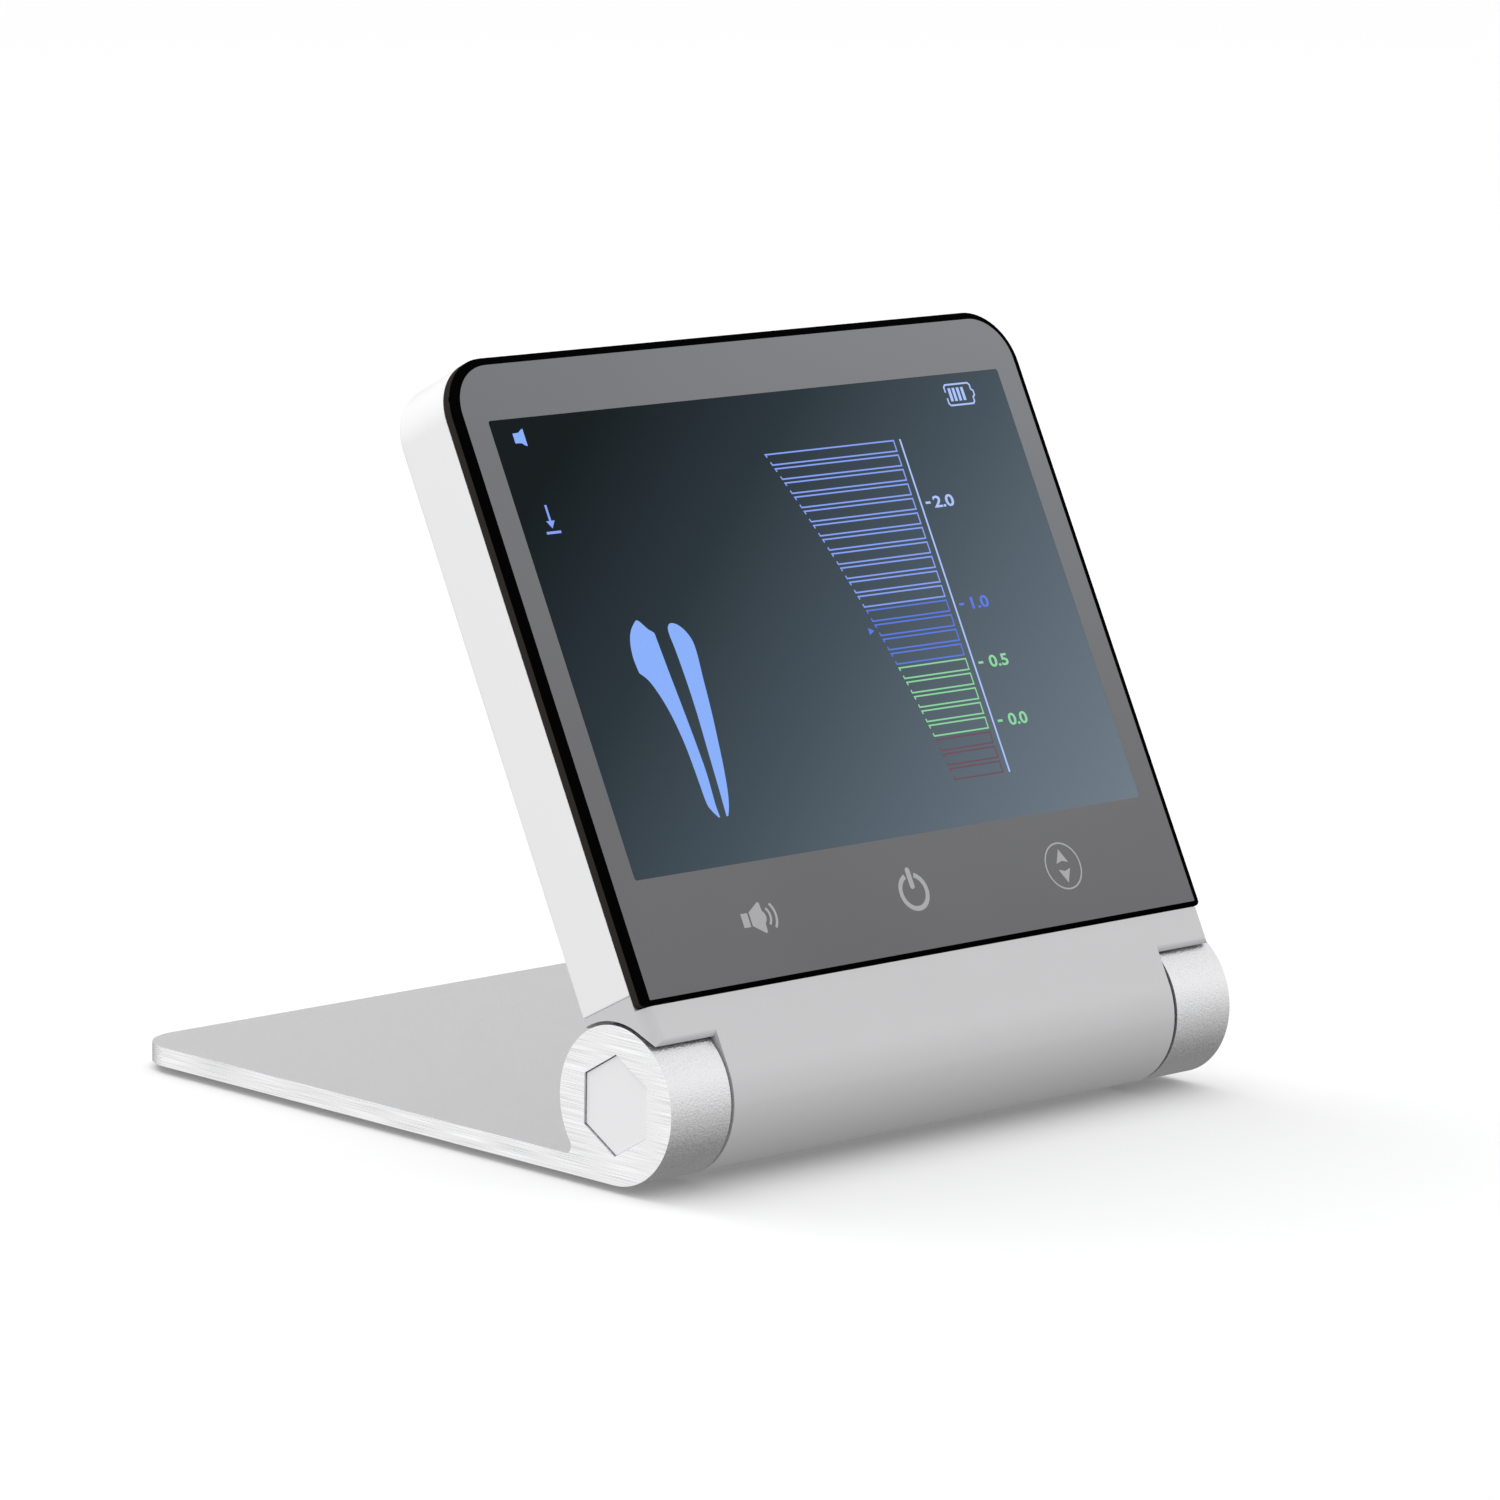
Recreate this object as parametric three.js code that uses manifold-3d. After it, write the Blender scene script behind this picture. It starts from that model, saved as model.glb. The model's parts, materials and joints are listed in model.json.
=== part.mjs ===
// A compact folding apex locator: a screen unit on a friction hinge, leaning back on an aluminium stand.
// Millimetres, +Z up. The screen faces -Y, and the origin is below the middle of the object on the table.
import * as THREE from 'three';
import { mergeVertices } from 'three/addons/utils/BufferGeometryUtils.js';
import Module from 'manifold-3d';

const wasm = await Module();
wasm.setup();
const { Manifold } = wasm;

// ---- Driving dimensions -------------------------------------------------------------------------------

const HINGE = {
  radius: 10,          // barrel and knuckles
  recline: 27.3,       // degrees that the screen leans back from upright
  barrelEnd: 39.6,     // half length of the barrel
  knuckleIn: 40.4,     // inner face of each knuckle
  shaftRadius: 3,
  squareHalf: 2.1,     // half width of the shaft's square end
  runningGap: 0.1,
  boreRadius: 8.3,     // inside of the barrel
};

const STAND = {
  halfWidth: 50.35,
  plateThickness: 2.5,
  rear: 93.7,          // rear edge, behind the hinge axis
  cornerRadius: 7,
  footHeight: 1,       // how far the feet stand out below the plate
  footRadius: 2.5,
  footInset: 0.6,      // how far the feet are let into the plate
  plugAcross: 12.7,    // hinge plug, corner to corner
  plugInset: 0.3,
};

// The screen unit is drawn upright: x across, v up from the hinge axis, n out of the screen from there.
const UNIT = {
  halfWidth: 50.27,
  top: 94.05,
  cornerTop: 7.5,
  cornerBottom: 0.7,
  back: -1.5,          // n of the back face
  rim: 8.35,           // n of the casing's front rim
  seam: 11.45,         // v of the joint line between rear shell and lower cover
  seamGap: 0.05,
  wall: 1.5,
};

const LENS = {
  halfWidth: 50.2,
  bottom: 9.6,
  back: 8.65,
  bevelStart: 9.73,
  face: 10.32,
  bevelWidth: 1.05,
};

const COVER = {
  face: 10,            // n of the flat front, level with the barrel
  top: 9.4,            // v of its upper edge, under the lens
  hoodBottom: 4.4,     // v of the hoods' lower edge over the knuckles
  hoodRadius: 10.6,    // hollow of the hoods, round the hinge axis
  hoodLip: 1,          // rounding of the hoods' lower front edge
  sideRounding: 2,
};

const AXIS_HEIGHT = HINGE.radius + STAND.footHeight;
const MIDDLE_Y = (STAND.rear - HINGE.radius) / 2;

// ---- Colours and surfaces -----------------------------------------------------------------------------

const SURFACES = {
  aluminium: { color: 0xc6c6c8, roughness: 0.38, metalness: 1 },
  whitePlastic: { color: 0xeaebed, roughness: 0.35, metalness: 0 },
  coverPlastic: { color: 0xc9c9cb, roughness: 0.4, metalness: 0.1 },
  plugPlastic: { color: 0xe8e8ea, roughness: 0.45, metalness: 0 },
  glass: { color: 0x75767a, roughness: 0.08, metalness: 0 },
  screen: { color: 0x3a4750, roughness: 0.2, metalness: 0 },
  diffuser: { color: 0xf2f4f6, roughness: 0.6, metalness: 0 },
  blackPlastic: { color: 0x1c1c1e, roughness: 0.5, metalness: 0 },
  film: { color: 0x2a2118, roughness: 0.4, metalness: 0 },
  board: { color: 0x1f5a3a, roughness: 0.55, metalness: 0 },
  chip: { color: 0x151516, roughness: 0.45, metalness: 0 },
  steel: { color: 0xb8babd, roughness: 0.3, metalness: 1 },
  springSteel: { color: 0x8d8f93, roughness: 0.35, metalness: 1 },
  brass: { color: 0xc8a550, roughness: 0.35, metalness: 1 },
  nickel: { color: 0xc9c6bd, roughness: 0.3, metalness: 1 },
  cellWrap: { color: 0x2f6fb3, roughness: 0.4, metalness: 0 },
  rubber: { color: 0x2b2b2c, roughness: 0.85, metalness: 0 },
  redWire: { color: 0xa8231f, roughness: 0.5, metalness: 0 },
  blackWire: { color: 0x1a1a1a, roughness: 0.5, metalness: 0 },
  tape: { color: 0x26272a, roughness: 0.7, metalness: 0 },
};

// ---- Helpers ------------------------------------------------------------------------------------------

const Q = Math.PI / 2;
const ALONG_X = new THREE.Matrix4().makeBasis(
  new THREE.Vector3(0, 1, 0),
  new THREE.Vector3(0, 0, 1),
  new THREE.Vector3(1, 0, 0),
);

function toSolid(geometry) {
  const bare = geometry.index ? geometry.toNonIndexed() : geometry.clone();
  bare.deleteAttribute('normal');
  bare.deleteAttribute('uv');
  const merged = mergeVertices(bare, 1e-4);
  const mesh = new wasm.Mesh({
    numProp: 3,
    vertProperties: new Float32Array(merged.attributes.position.array),
    triVerts: new Uint32Array(merged.index.array),
  });
  return new Manifold(mesh);
}

function toGeometry(solid) {
  const mesh = solid.getMesh();
  const geometry = new THREE.BufferGeometry();
  geometry.setAttribute('position', new THREE.BufferAttribute(new Float32Array(mesh.vertProperties), 3));
  geometry.setIndex(new THREE.BufferAttribute(new Uint32Array(mesh.triVerts), 1));
  const flat = geometry.toNonIndexed();
  flat.computeVertexNormals();
  return flat;
}

const cut = (solid, ...tools) => tools.reduce((rest, tool) => rest.subtract(tool), solid);
const join = (solid, ...others) => others.reduce((whole, other) => whole.add(other), solid);

function extrude(shape, depth, curveSegments) {
  return new THREE.ExtrudeGeometry(shape, { depth, bevelEnabled: false, curveSegments });
}

// A side outline (y, z) swept along x. Each arc gets two flats for every curve segment.
function sweepX(shape, x0, x1, curveSegments = 4) {
  return toSolid(extrude(shape, x1 - x0, curveSegments).applyMatrix4(ALONG_X).translate(x0, 0, 0));
}

// A plan outline (x, y) swept up along z.
function sweepZ(shape, z0, z1, curveSegments = 4) {
  return toSolid(extrude(shape, z1 - z0, curveSegments).translate(0, 0, z0));
}

// A front outline (x, v) swept out of the screen from n0 to n1.
function sweepN(shape, n0, n1, curveSegments = 4) {
  return toSolid(extrude(shape, n1 - n0, curveSegments).translate(0, 0, n0).rotateX(Q));
}

// A block in the screen unit's own directions, given by its limits in x, v and n.
function block(x0, x1, v0, v1, n0, n1) {
  const box = new THREE.BoxGeometry(x1 - x0, n1 - n0, v1 - v0);
  return toSolid(box.translate((x0 + x1) / 2, -(n0 + n1) / 2, (v0 + v1) / 2));
}

// A round bar along x, centred on (y, z).
function barX(radius, x0, x1, y = 0, z = 0, segments = 24) {
  const bar = new THREE.CylinderGeometry(radius, radius, x1 - x0, segments);
  return toSolid(bar.rotateZ(Q).translate((x0 + x1) / 2, y, z));
}

// A round bar along the screen's normal, from n0 to n1, centred on (x, v).
function barN(radius, n0, n1, x, v, segments = 16) {
  const bar = new THREE.CylinderGeometry(radius, radius, n1 - n0, segments);
  return toSolid(bar.translate(x, -(n0 + n1) / 2, v));
}

// A flat ring on the hinge axis.
const ringX = (outer, inner, x0, x1) => cut(barX(outer, x0, x1), barX(inner, x0 - 1, x1 + 1));

const regularPolygon = (corners, radius, turn = 0) => {
  const points = Array.from({ length: corners }, (_, i) => {
    const angle = turn + (i * 2 * Math.PI) / corners;
    return new THREE.Vector2(radius * Math.cos(angle), radius * Math.sin(angle));
  });
  return new THREE.Shape(points);
};

// A rectangle with one radius for its lower corners and one for its upper corners.
function roundedRectangle(x0, x1, y0, y1, lower, upper) {
  const shape = new THREE.Shape();
  shape.moveTo(x0 + lower, y0);
  shape.lineTo(x1 - lower, y0);
  shape.absarc(x1 - lower, y0 + lower, lower, -Q, 0);
  shape.lineTo(x1, y1 - upper);
  shape.absarc(x1 - upper, y1 - upper, upper, 0, Q);
  shape.lineTo(x0 + upper, y1);
  shape.absarc(x0 + upper, y1 - upper, upper, Q, 2 * Q);
  shape.lineTo(x0, y0 + lower);
  shape.absarc(x0 + lower, y0 + lower, lower, 2 * Q, 3 * Q);
  return shape;
}

// The same outline drawn in by an inset on every side.
const framed = (halfWidth, bottom, top, inset, lower, upper) =>
  roundedRectangle(-halfWidth + inset, halfWidth - inset, bottom + inset, top - inset, lower, upper);

function piece(name, solid, surface) {
  const mesh = new THREE.Mesh(toGeometry(solid), new THREE.MeshStandardMaterial(SURFACES[surface]));
  mesh.name = name;
  return mesh;
}

const SIDES = [['left', -1], ['right', 1]];

// Limits along x on one side, given as distances from the middle, in rising order.
const span = (sign, near, far) => (sign > 0 ? [near, far] : [-far, -near]);

// ---- Stand --------------------------------------------------------------------------------------------

const FOOT_PLACES = [
  ['front_left', -43.8, 6],
  ['front_right', 43.8, 6],
  ['rear_left', -42, 85],
  ['rear_right', 42, 85],
];

// The extrusion's outline seen from the side: a round knuckle running out into a flat plate.
function standOutline() {
  const { radius } = HINGE;
  const plateTop = STAND.plateThickness - radius;
  const fillet = 1;
  const filletZ = plateTop + fillet;
  const filletY = Math.sqrt((radius + fillet) ** 2 - filletZ ** 2);
  const contact = Math.atan2(filletZ, filletY);
  const shape = new THREE.Shape();
  shape.moveTo(0, -radius);
  shape.lineTo(STAND.rear, -radius);
  shape.lineTo(STAND.rear, plateTop);
  shape.lineTo(filletY, plateTop);
  shape.absarc(filletY, filletZ, fillet, 3 * Q, contact + 2 * Q, true);
  shape.absarc(0, 0, radius, contact, 3 * Q, false);
  return shape;
}

function hexBar(across, x0, x1) {
  return sweepX(regularPolygon(6, across / 2, Q), x0, x1);
}

function baseFrame() {
  const { radius, knuckleIn } = HINGE;
  const plan = roundedRectangle(
    -STAND.halfWidth, STAND.halfWidth, -radius - STAND.cornerRadius, STAND.rear, 1, STAND.cornerRadius,
  );
  const profile = sweepX(standOutline(), -STAND.halfWidth, STAND.halfWidth, 18);
  const whole = profile.intersect(sweepZ(plan, -radius - 1, radius + 1, 5));
  const plateTop = STAND.plateThickness - radius;
  const plateEdge = Math.sqrt((radius + knuckleIn - HINGE.barrelEnd) ** 2 - plateTop ** 2);
  const beyond = radius + 2;
  const barrelSpace = block(-knuckleIn, knuckleIn, plateTop, beyond, -beyond, beyond);
  const plateNotch = block(-knuckleIn, knuckleIn, -beyond, beyond, -plateEdge, beyond);
  const plugHoles = hexBar(STAND.plugAcross + 0.2, -STAND.halfWidth - 1, STAND.halfWidth + 1);
  const footSeats = FOOT_PLACES.map(([, x, y]) => {
    const seat = new THREE.CylinderGeometry(STAND.footRadius + 0.1, STAND.footRadius + 0.1, 1, 24);
    return toSolid(seat.rotateX(Q).translate(x, y, STAND.footInset - radius - 0.5));
  });
  return cut(whole, barrelSpace, plateNotch, plugHoles, ...footSeats);
}

function foot(x, y) {
  const height = STAND.footHeight + STAND.footInset - 0.05;
  const pad = new THREE.CylinderGeometry(STAND.footRadius, STAND.footRadius - 0.2, height, 24);
  return toSolid(pad.rotateX(Q).translate(x, y, height / 2 - AXIS_HEIGHT));
}

function hingePlug(sign) {
  const socket = HINGE.squareHalf + HINGE.runningGap;
  const outer = STAND.halfWidth - STAND.plugInset;
  const plug = hexBar(STAND.plugAcross, ...span(sign, HINGE.knuckleIn + 0.3, outer));
  return cut(plug, block(...span(sign, HINGE.knuckleIn, outer - 2.8), -socket, socket, -socket, socket));
}

// The friction stack inside the barrel, outwards from the middle of the object.
const STACK = {
  shaftEnd: 25.9,
  nut: [26.3, 29],
  nutAcross: 9.2,
  spring: [29.15, 30.25],
  springRadius: 6.4,
  springSheet: 0.5,
  washer: [30.4, 31.2],
  washerRadius: 6.6,
  block: [31.35, 39.4],
};

function hingeShaft(sign) {
  const half = HINGE.squareHalf;
  const squareEnd = STAND.halfWidth - STAND.plugInset - 3;
  const round = barX(HINGE.shaftRadius, ...span(sign, STACK.shaftEnd, HINGE.knuckleIn + 0.2));
  return join(round, block(...span(sign, HINGE.knuckleIn, squareEnd), -half, half, -half, half));
}

const WASHER_HOLE = HINGE.shaftRadius + 0.15;

function thrustWasher(sign) {
  const gap = HINGE.knuckleIn - HINGE.barrelEnd;
  const limits = span(sign, HINGE.barrelEnd + gap / 4, HINGE.knuckleIn - gap / 4);
  return ringX(HINGE.radius - 0.7, WASHER_HOLE, ...limits);
}

function hingeNut(sign) {
  const limits = span(sign, ...STACK.nut);
  const thread = barX(HINGE.shaftRadius + HINGE.runningGap, limits[0] - 1, limits[1] + 1);
  return cut(hexBar(STACK.nutAcross, ...limits), thread);
}

// A disc spring: a ring that is dished along the shaft.
function discSpring(sign) {
  const [near, far] = STACK.spring;
  const inner = HINGE.shaftRadius + 2 * HINGE.runningGap;
  const outer = STACK.springRadius;
  const thickness = STACK.springSheet;
  const profile = [
    new THREE.Vector2(inner, near),
    new THREE.Vector2(outer, far - thickness),
    new THREE.Vector2(outer, far),
    new THREE.Vector2(inner, near + thickness),
    new THREE.Vector2(inner, near),
  ];
  return toSolid(new THREE.LatheGeometry(profile, 24).rotateZ(-sign * Q));
}

function makeStand() {
  const stand = new THREE.Group();
  stand.add(piece('base_frame', baseFrame(), 'aluminium'));
  FOOT_PLACES.forEach(([place, x, y]) => stand.add(piece(`foot_${place}`, foot(x, y), 'rubber')));
  SIDES.forEach(([side, sign]) => {
    const washer = ringX(STACK.washerRadius, WASHER_HOLE, ...span(sign, ...STACK.washer));
    stand.add(piece(`hinge_plug_${side}`, hingePlug(sign), 'plugPlastic'));
    stand.add(piece(`hinge_shaft_${side}`, hingeShaft(sign), 'steel'));
    stand.add(piece(`thrust_washer_${side}`, thrustWasher(sign), 'blackPlastic'));
    stand.add(piece(`friction_washer_${side}`, washer, 'brass'));
    stand.add(piece(`disc_spring_${side}`, discSpring(sign), 'springSteel'));
    stand.add(piece(`hinge_nut_${side}`, hingeNut(sign), 'steel'));
  });
  return stand;
}

// ---- Screen unit: casing ------------------------------------------------------------------------------

const SCREWS = {
  x: 43.6,
  low: 26,
  high: 85.5,
  shank: 0.8,
  end: 3.3,            // n of the shank's tip
  head: 1.8,
  headHeight: 0.9,
  slotHalf: 0.25,      // the cross slot in the head
  slotReach: 0.9,
  slotDepth: 0.4,
};
const COVER_SCREW = { x: 30, n: 3.5, shank: 0.75, length: 5, head: 1.6, headHeight: 0.8 };
const BLOCK_SCREW = { shank: 0.75, hole: 0.9, head: 1.5, depth: 4.6, seat: 9.35 };
const CORNER_SCREWS = [
  ['low_left', -SCREWS.x, SCREWS.low],
  ['low_right', SCREWS.x, SCREWS.low],
  ['high_left', -SCREWS.x, SCREWS.high],
  ['high_right', SCREWS.x, SCREWS.high],
];
const USB = { v: 34, n: 2.1, halfLong: 4.47, halfThick: 1.63, inner: 41.4 };
const LEAD = { v: 17.4, n: 3.6, holeRadius: 1.8, collarRadius: 2.9, half: 3.2, inner: 36.5 };
const SPEAKER = { x: -27, v: 18.6, halfWidth: 7.5, halfHeight: 3.8, depth: 3 };
const SOUND_HOLE = { radius: 0.6, pitch: 2.4 };
const WIRE_SLOT = { halfWidth: 12, n0: 1, n1: 6 };
const SEAM_TOP = UNIT.seam + UNIT.seamGap;
const BACK_ROUNDING = 1.2;

// The casing's outline, drawn in by an inset at its sides and top but not at the joint line.
function casingOutline(inset) {
  const half = UNIT.halfWidth - inset;
  return roundedRectangle(-half, half, SEAM_TOP, UNIT.top - inset, 0.2, UNIT.cornerTop - inset);
}

// The outer form of the casing, rounded over at its back edge.
function casingBody() {
  const steps = [0, 0.5, 1];
  const layers = steps.map((step) => {
    const inset = BACK_ROUNDING * (1 - Math.sin(step * Q));
    const n = UNIT.back + BACK_ROUNDING * (1 - Math.cos(step * Q));
    return sweepN(casingOutline(inset), n, n + 0.05, 5);
  });
  return Manifold.hull([...layers, sweepN(casingOutline(0), UNIT.rim - 0.05, UNIT.rim, 5)]);
}

// The charging opening: a slot with round ends, cut through the right-hand wall.
function usbSlot() {
  const long = USB.halfLong + 0.25;
  const thick = USB.halfThick + 0.25;
  const slot = roundedRectangle(-USB.n - thick, -USB.n + thick, USB.v - long, USB.v + long, 1.6, 1.6);
  return sweepX(slot, UNIT.halfWidth - UNIT.wall - 0.5, UNIT.halfWidth + 1, 3);
}

// A round bar along v behind the seam, on the line of the screws that hold the lower cover.
function coverScrewBar(sign, radius, v0, v1) {
  const bar = new THREE.CylinderGeometry(radius, radius, v1 - v0, 16);
  return toSolid(bar.rotateX(Q).translate(sign * COVER_SCREW.x, -COVER_SCREW.n, (v0 + v1) / 2));
}

function soundHoles() {
  const { radius, pitch } = SOUND_HOLE;
  const columns = [-2, -1, 0, 1, 2];
  const rows = [-0.5, 0.5];
  return rows.flatMap((row) => columns.map((column) =>
    barN(radius, UNIT.back - 1, 1, SPEAKER.x + column * pitch, SPEAKER.v + row * pitch, 8)));
}

const wireSlot = (v0, v1) =>
  block(-WIRE_SLOT.halfWidth, WIRE_SLOT.halfWidth, v0, v1, WIRE_SLOT.n0, WIRE_SLOT.n1);

function rearShell() {
  const { halfWidth, top, wall } = UNIT;
  const hollow = framed(halfWidth, SEAM_TOP, top, wall, 0.5, UNIT.cornerTop - wall);
  const screwHoles = CORNER_SCREWS.flatMap(([, x, v]) => [
    barN(SCREWS.shank + 0.2, UNIT.back - 1, 1, x, v),
    barN(SCREWS.head + 0.2, UNIT.back - 1, UNIT.back + SCREWS.headHeight + 0.15, x, v),
  ]);
  const coverScrewHoles = SIDES.map(([, sign]) =>
    coverScrewBar(sign, COVER_SCREW.shank + 0.25, SEAM_TOP - 3, SEAM_TOP + 3));
  const leadHole = barX(LEAD.collarRadius + 0.2, halfWidth - 3, halfWidth + 1, -LEAD.n, LEAD.v);
  return cut(casingBody(), sweepN(hollow, 0, UNIT.rim + 1, 5), wireSlot(SEAM_TOP - 1, SEAM_TOP + 3),
    leadHole, usbSlot(), ...screwHoles, ...coverScrewHoles, ...soundHoles());
}

// The lower cover seen from the side. Behind the lens it rises to the joint line with the rear shell.
function coverTop(shape) {
  shape.lineTo(-COVER.face, COVER.top);
  shape.lineTo(-UNIT.rim, COVER.top);
  shape.lineTo(-UNIT.rim, UNIT.seam - UNIT.seamGap);
  shape.lineTo(-UNIT.back, UNIT.seam - UNIT.seamGap);
}

function barrelOutline() {
  const { radius } = HINGE;
  const shape = new THREE.Shape();
  shape.moveTo(-radius, 0);
  coverTop(shape);
  shape.absarc(0, 0, radius, Math.acos(-UNIT.back / radius), -2 * Q, true);
  return shape;
}

// A hood's lower front edge is rounded, and the rounding runs into the hollow over the knuckle.
function hoodOutline() {
  const { hoodRadius, hoodLip } = COVER;
  const lip = new THREE.Vector2(-COVER.face + hoodLip, COVER.hoodBottom + hoodLip);
  const reach = (hoodRadius ** 2 - lip.lengthSq() - hoodLip ** 2) / (2 * hoodLip * lip.length());
  const tipTurn = lip.angle() + Math.acos(reach);
  const tip = new THREE.Vector2(hoodLip, 0).rotateAround(new THREE.Vector2(), tipTurn).add(lip);
  const shape = new THREE.Shape();
  shape.moveTo(-COVER.face, lip.y);
  coverTop(shape);
  shape.absarc(0, 0, hoodRadius, Math.acos(-UNIT.back / hoodRadius), tip.angle(), false);
  shape.absarc(lip.x, lip.y, hoodLip, tipTurn, 2 * Q, true);
  return shape;
}

// The cover seen from above: rounded at the front corners and, like the casing, at the hoods' back edges.
function coverPlan() {
  const { sideRounding, face } = COVER;
  const front = -face + sideRounding;
  const side = UNIT.halfWidth - sideRounding;
  const rear = -UNIT.back - BACK_ROUNDING;
  const rearSide = UNIT.halfWidth - BACK_ROUNDING;
  const step = HINGE.barrelEnd + 0.2;
  const shape = new THREE.Shape();
  shape.moveTo(-side, -face);
  shape.absarc(side, front, sideRounding, -Q, 0);
  shape.absarc(rearSide, rear, BACK_ROUNDING, 0, Q);
  shape.lineTo(step, -UNIT.back);
  shape.lineTo(step, HINGE.radius + 1);
  shape.lineTo(-step, HINGE.radius + 1);
  shape.lineTo(-step, -UNIT.back);
  shape.absarc(-rearSide, rear, BACK_ROUNDING, Q, 2 * Q);
  shape.absarc(-side, front, sideRounding, 2 * Q, 3 * Q);
  return shape;
}

function lowerCover() {
  const { halfWidth } = UNIT;
  const { barrelEnd, boreRadius } = HINGE;
  const barrel = sweepX(barrelOutline(), -barrelEnd, barrelEnd, 20);
  const hoods = SIDES.map(([, sign]) =>
    sweepX(hoodOutline(), ...span(sign, barrelEnd - 0.5, halfWidth), 6));
  const beyond = HINGE.radius + 1;
  const body = join(barrel, ...hoods).intersect(sweepZ(coverPlan(), -beyond, UNIT.seam + 1, 5));
  const bore = barX(boreRadius, -barrelEnd - 1, barrelEnd + 1, 0, 0, 40);
  const screwHoles = SIDES.flatMap(([, sign]) => [
    coverScrewBar(sign, COVER_SCREW.shank + 0.15, UNIT.seam - 4.5, UNIT.seam + 1.5),
    radialBar(sign, BLOCK_SCREW.hole, BLOCK_SCREW.depth, beyond),
    radialBar(sign, BLOCK_SCREW.head + 0.2, BLOCK_SCREW.seat - 0.1, beyond),
  ]);
  return cut(body, bore, wireSlot(0, UNIT.seam + 1), ...screwHoles);
}

function lens() {
  const { halfWidth, bottom, back, bevelStart, face, bevelWidth } = LENS;
  const outline = (inset) =>
    framed(halfWidth, bottom, UNIT.top, inset, UNIT.cornerBottom, UNIT.cornerTop - inset);
  return Manifold.hull([
    sweepN(outline(0), back, bevelStart, 5),
    sweepN(outline(bevelWidth), bevelStart, face, 5),
  ]);
}

// ---- Screen unit: inside ------------------------------------------------------------------------------

const BOARD = { halfWidth: 39.5, bottom: 24, top: 87, n0: 1.4, n1: 2.4 };
const PROCESSOR = { x0: -6, x1: 6, v0: 52, v1: 64 };
const SHIELD = { x0: 14, x1: 32, v0: 48, v1: 68 };
const CHIP_TOP = 0.3;                // n of the tall parts' tops, under the board
const TOUCH = { halfWidth: 38, v0: 13.8, v1: 20.4, n0: 8, n1: 8.3 };
const CHASSIS = { halfWidth: 48.4, bottom: 21.7, top: 92.1, n0: 4, floor: 4.8, n1: 8.1 };
const PANEL = { halfWidth: 47.1, bottom: 22.6, top: 88.1 };
const FLEX = { x0: 8, x1: 26, front: 7.6, sheet: 0.3 };
const CELL = { radius: 7, half: 21.5, nub: 2.6, nubHeight: 0.9 };
const CONTACT = { radius: 6.4, sheet: 0.4, tabReach: 7.3, tabLow: 2.9, tabHigh: 4.1 };
const WIRE = { radius: 0.5, n: 3.5 };

function midFrame() {
  const corner = UNIT.cornerTop - UNIT.wall - 0.4;
  const outline = framed(CHASSIS.halfWidth, CHASSIS.bottom, CHASSIS.top, 0, 0.5, corner);
  const plate = sweepN(outline, CHASSIS.n0, CHASSIS.n1);
  const pocketHalf = PANEL.halfWidth + 0.2;
  const { bottom, floor, n1 } = CHASSIS;
  const pocket = block(-pocketHalf, pocketHalf, bottom - 1, PANEL.top + 0.2, floor, n1 + 1);
  const posts = CORNER_SCREWS.map(([, x, v]) => barN(2, 0.3, CHASSIS.n0 + 0.3, x, v));
  const threads = CORNER_SCREWS.map(([, x, v]) => barN(SCREWS.shank + 0.1, 0, CHASSIS.n0 - 0.2, x, v));
  return cut(join(cut(plate, pocket), ...posts), ...threads);
}

function layer(half, inset, n0, n1) {
  return block(-half + inset, half - inset, PANEL.bottom + inset, PANEL.top - inset, n0, n1);
}

function lensTape() {
  const { halfWidth, top, wall, cornerTop } = UNIT;
  const outer = framed(halfWidth, LENS.bottom + 0.4, top, 0.5, 0.5, cornerTop - 0.5);
  const opening = framed(halfWidth, SEAM_TOP + 0.4, top, wall + 0.1, 0.5, cornerTop - wall);
  const sheet = sweepN(outer, UNIT.rim + 0.08, LENS.back - 0.08);
  return cut(sheet, sweepN(opening, UNIT.rim - 1, LENS.back + 1));
}

// A ribbon that leaves the display's lower edge, turns under the mid frame and runs up to the board.
function displayFlex() {
  const { front, sheet } = FLEX;
  const rear = BOARD.n1 + 0.4;
  const low = CHASSIS.bottom - 0.7;
  const ribbon = new THREE.Shape([
    new THREE.Vector2(-front, PANEL.bottom - 0.2),
    new THREE.Vector2(-front, low - sheet),
    new THREE.Vector2(-rear, low - sheet),
    new THREE.Vector2(-rear, BOARD.bottom + 3),
    new THREE.Vector2(-rear - sheet, BOARD.bottom + 3),
    new THREE.Vector2(-rear - sheet, low),
    new THREE.Vector2(-front + sheet, low),
    new THREE.Vector2(-front + sheet, PANEL.bottom - 0.2),
  ]);
  return sweepX(ribbon, FLEX.x0, FLEX.x1);
}

function speaker() {
  const { x, v, halfWidth, halfHeight, depth } = SPEAKER;
  const corner = 1.5;
  const outline = roundedRectangle(
    x - halfWidth, x + halfWidth, v - halfHeight, v + halfHeight, corner, corner,
  );
  return join(sweepN(outline, 0.7, depth), barN(3, depth - 0.2, depth + 0.6, x, v));
}

// The measuring lead's round socket, open at the right-hand side.
function leadSocket() {
  const { v, n, half, inner, collarRadius, holeRadius } = LEAD;
  const bodyEnd = UNIT.halfWidth - UNIT.wall - 0.3;
  const body = block(inner, bodyEnd, v - half, v + half, n - half, n + half);
  const collar = barX(collarRadius, bodyEnd - 0.5, UNIT.halfWidth - 0.2, -n, v);
  return cut(join(body, collar), barX(holeRadius, inner + 1.5, UNIT.halfWidth + 1, -n, v));
}

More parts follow.
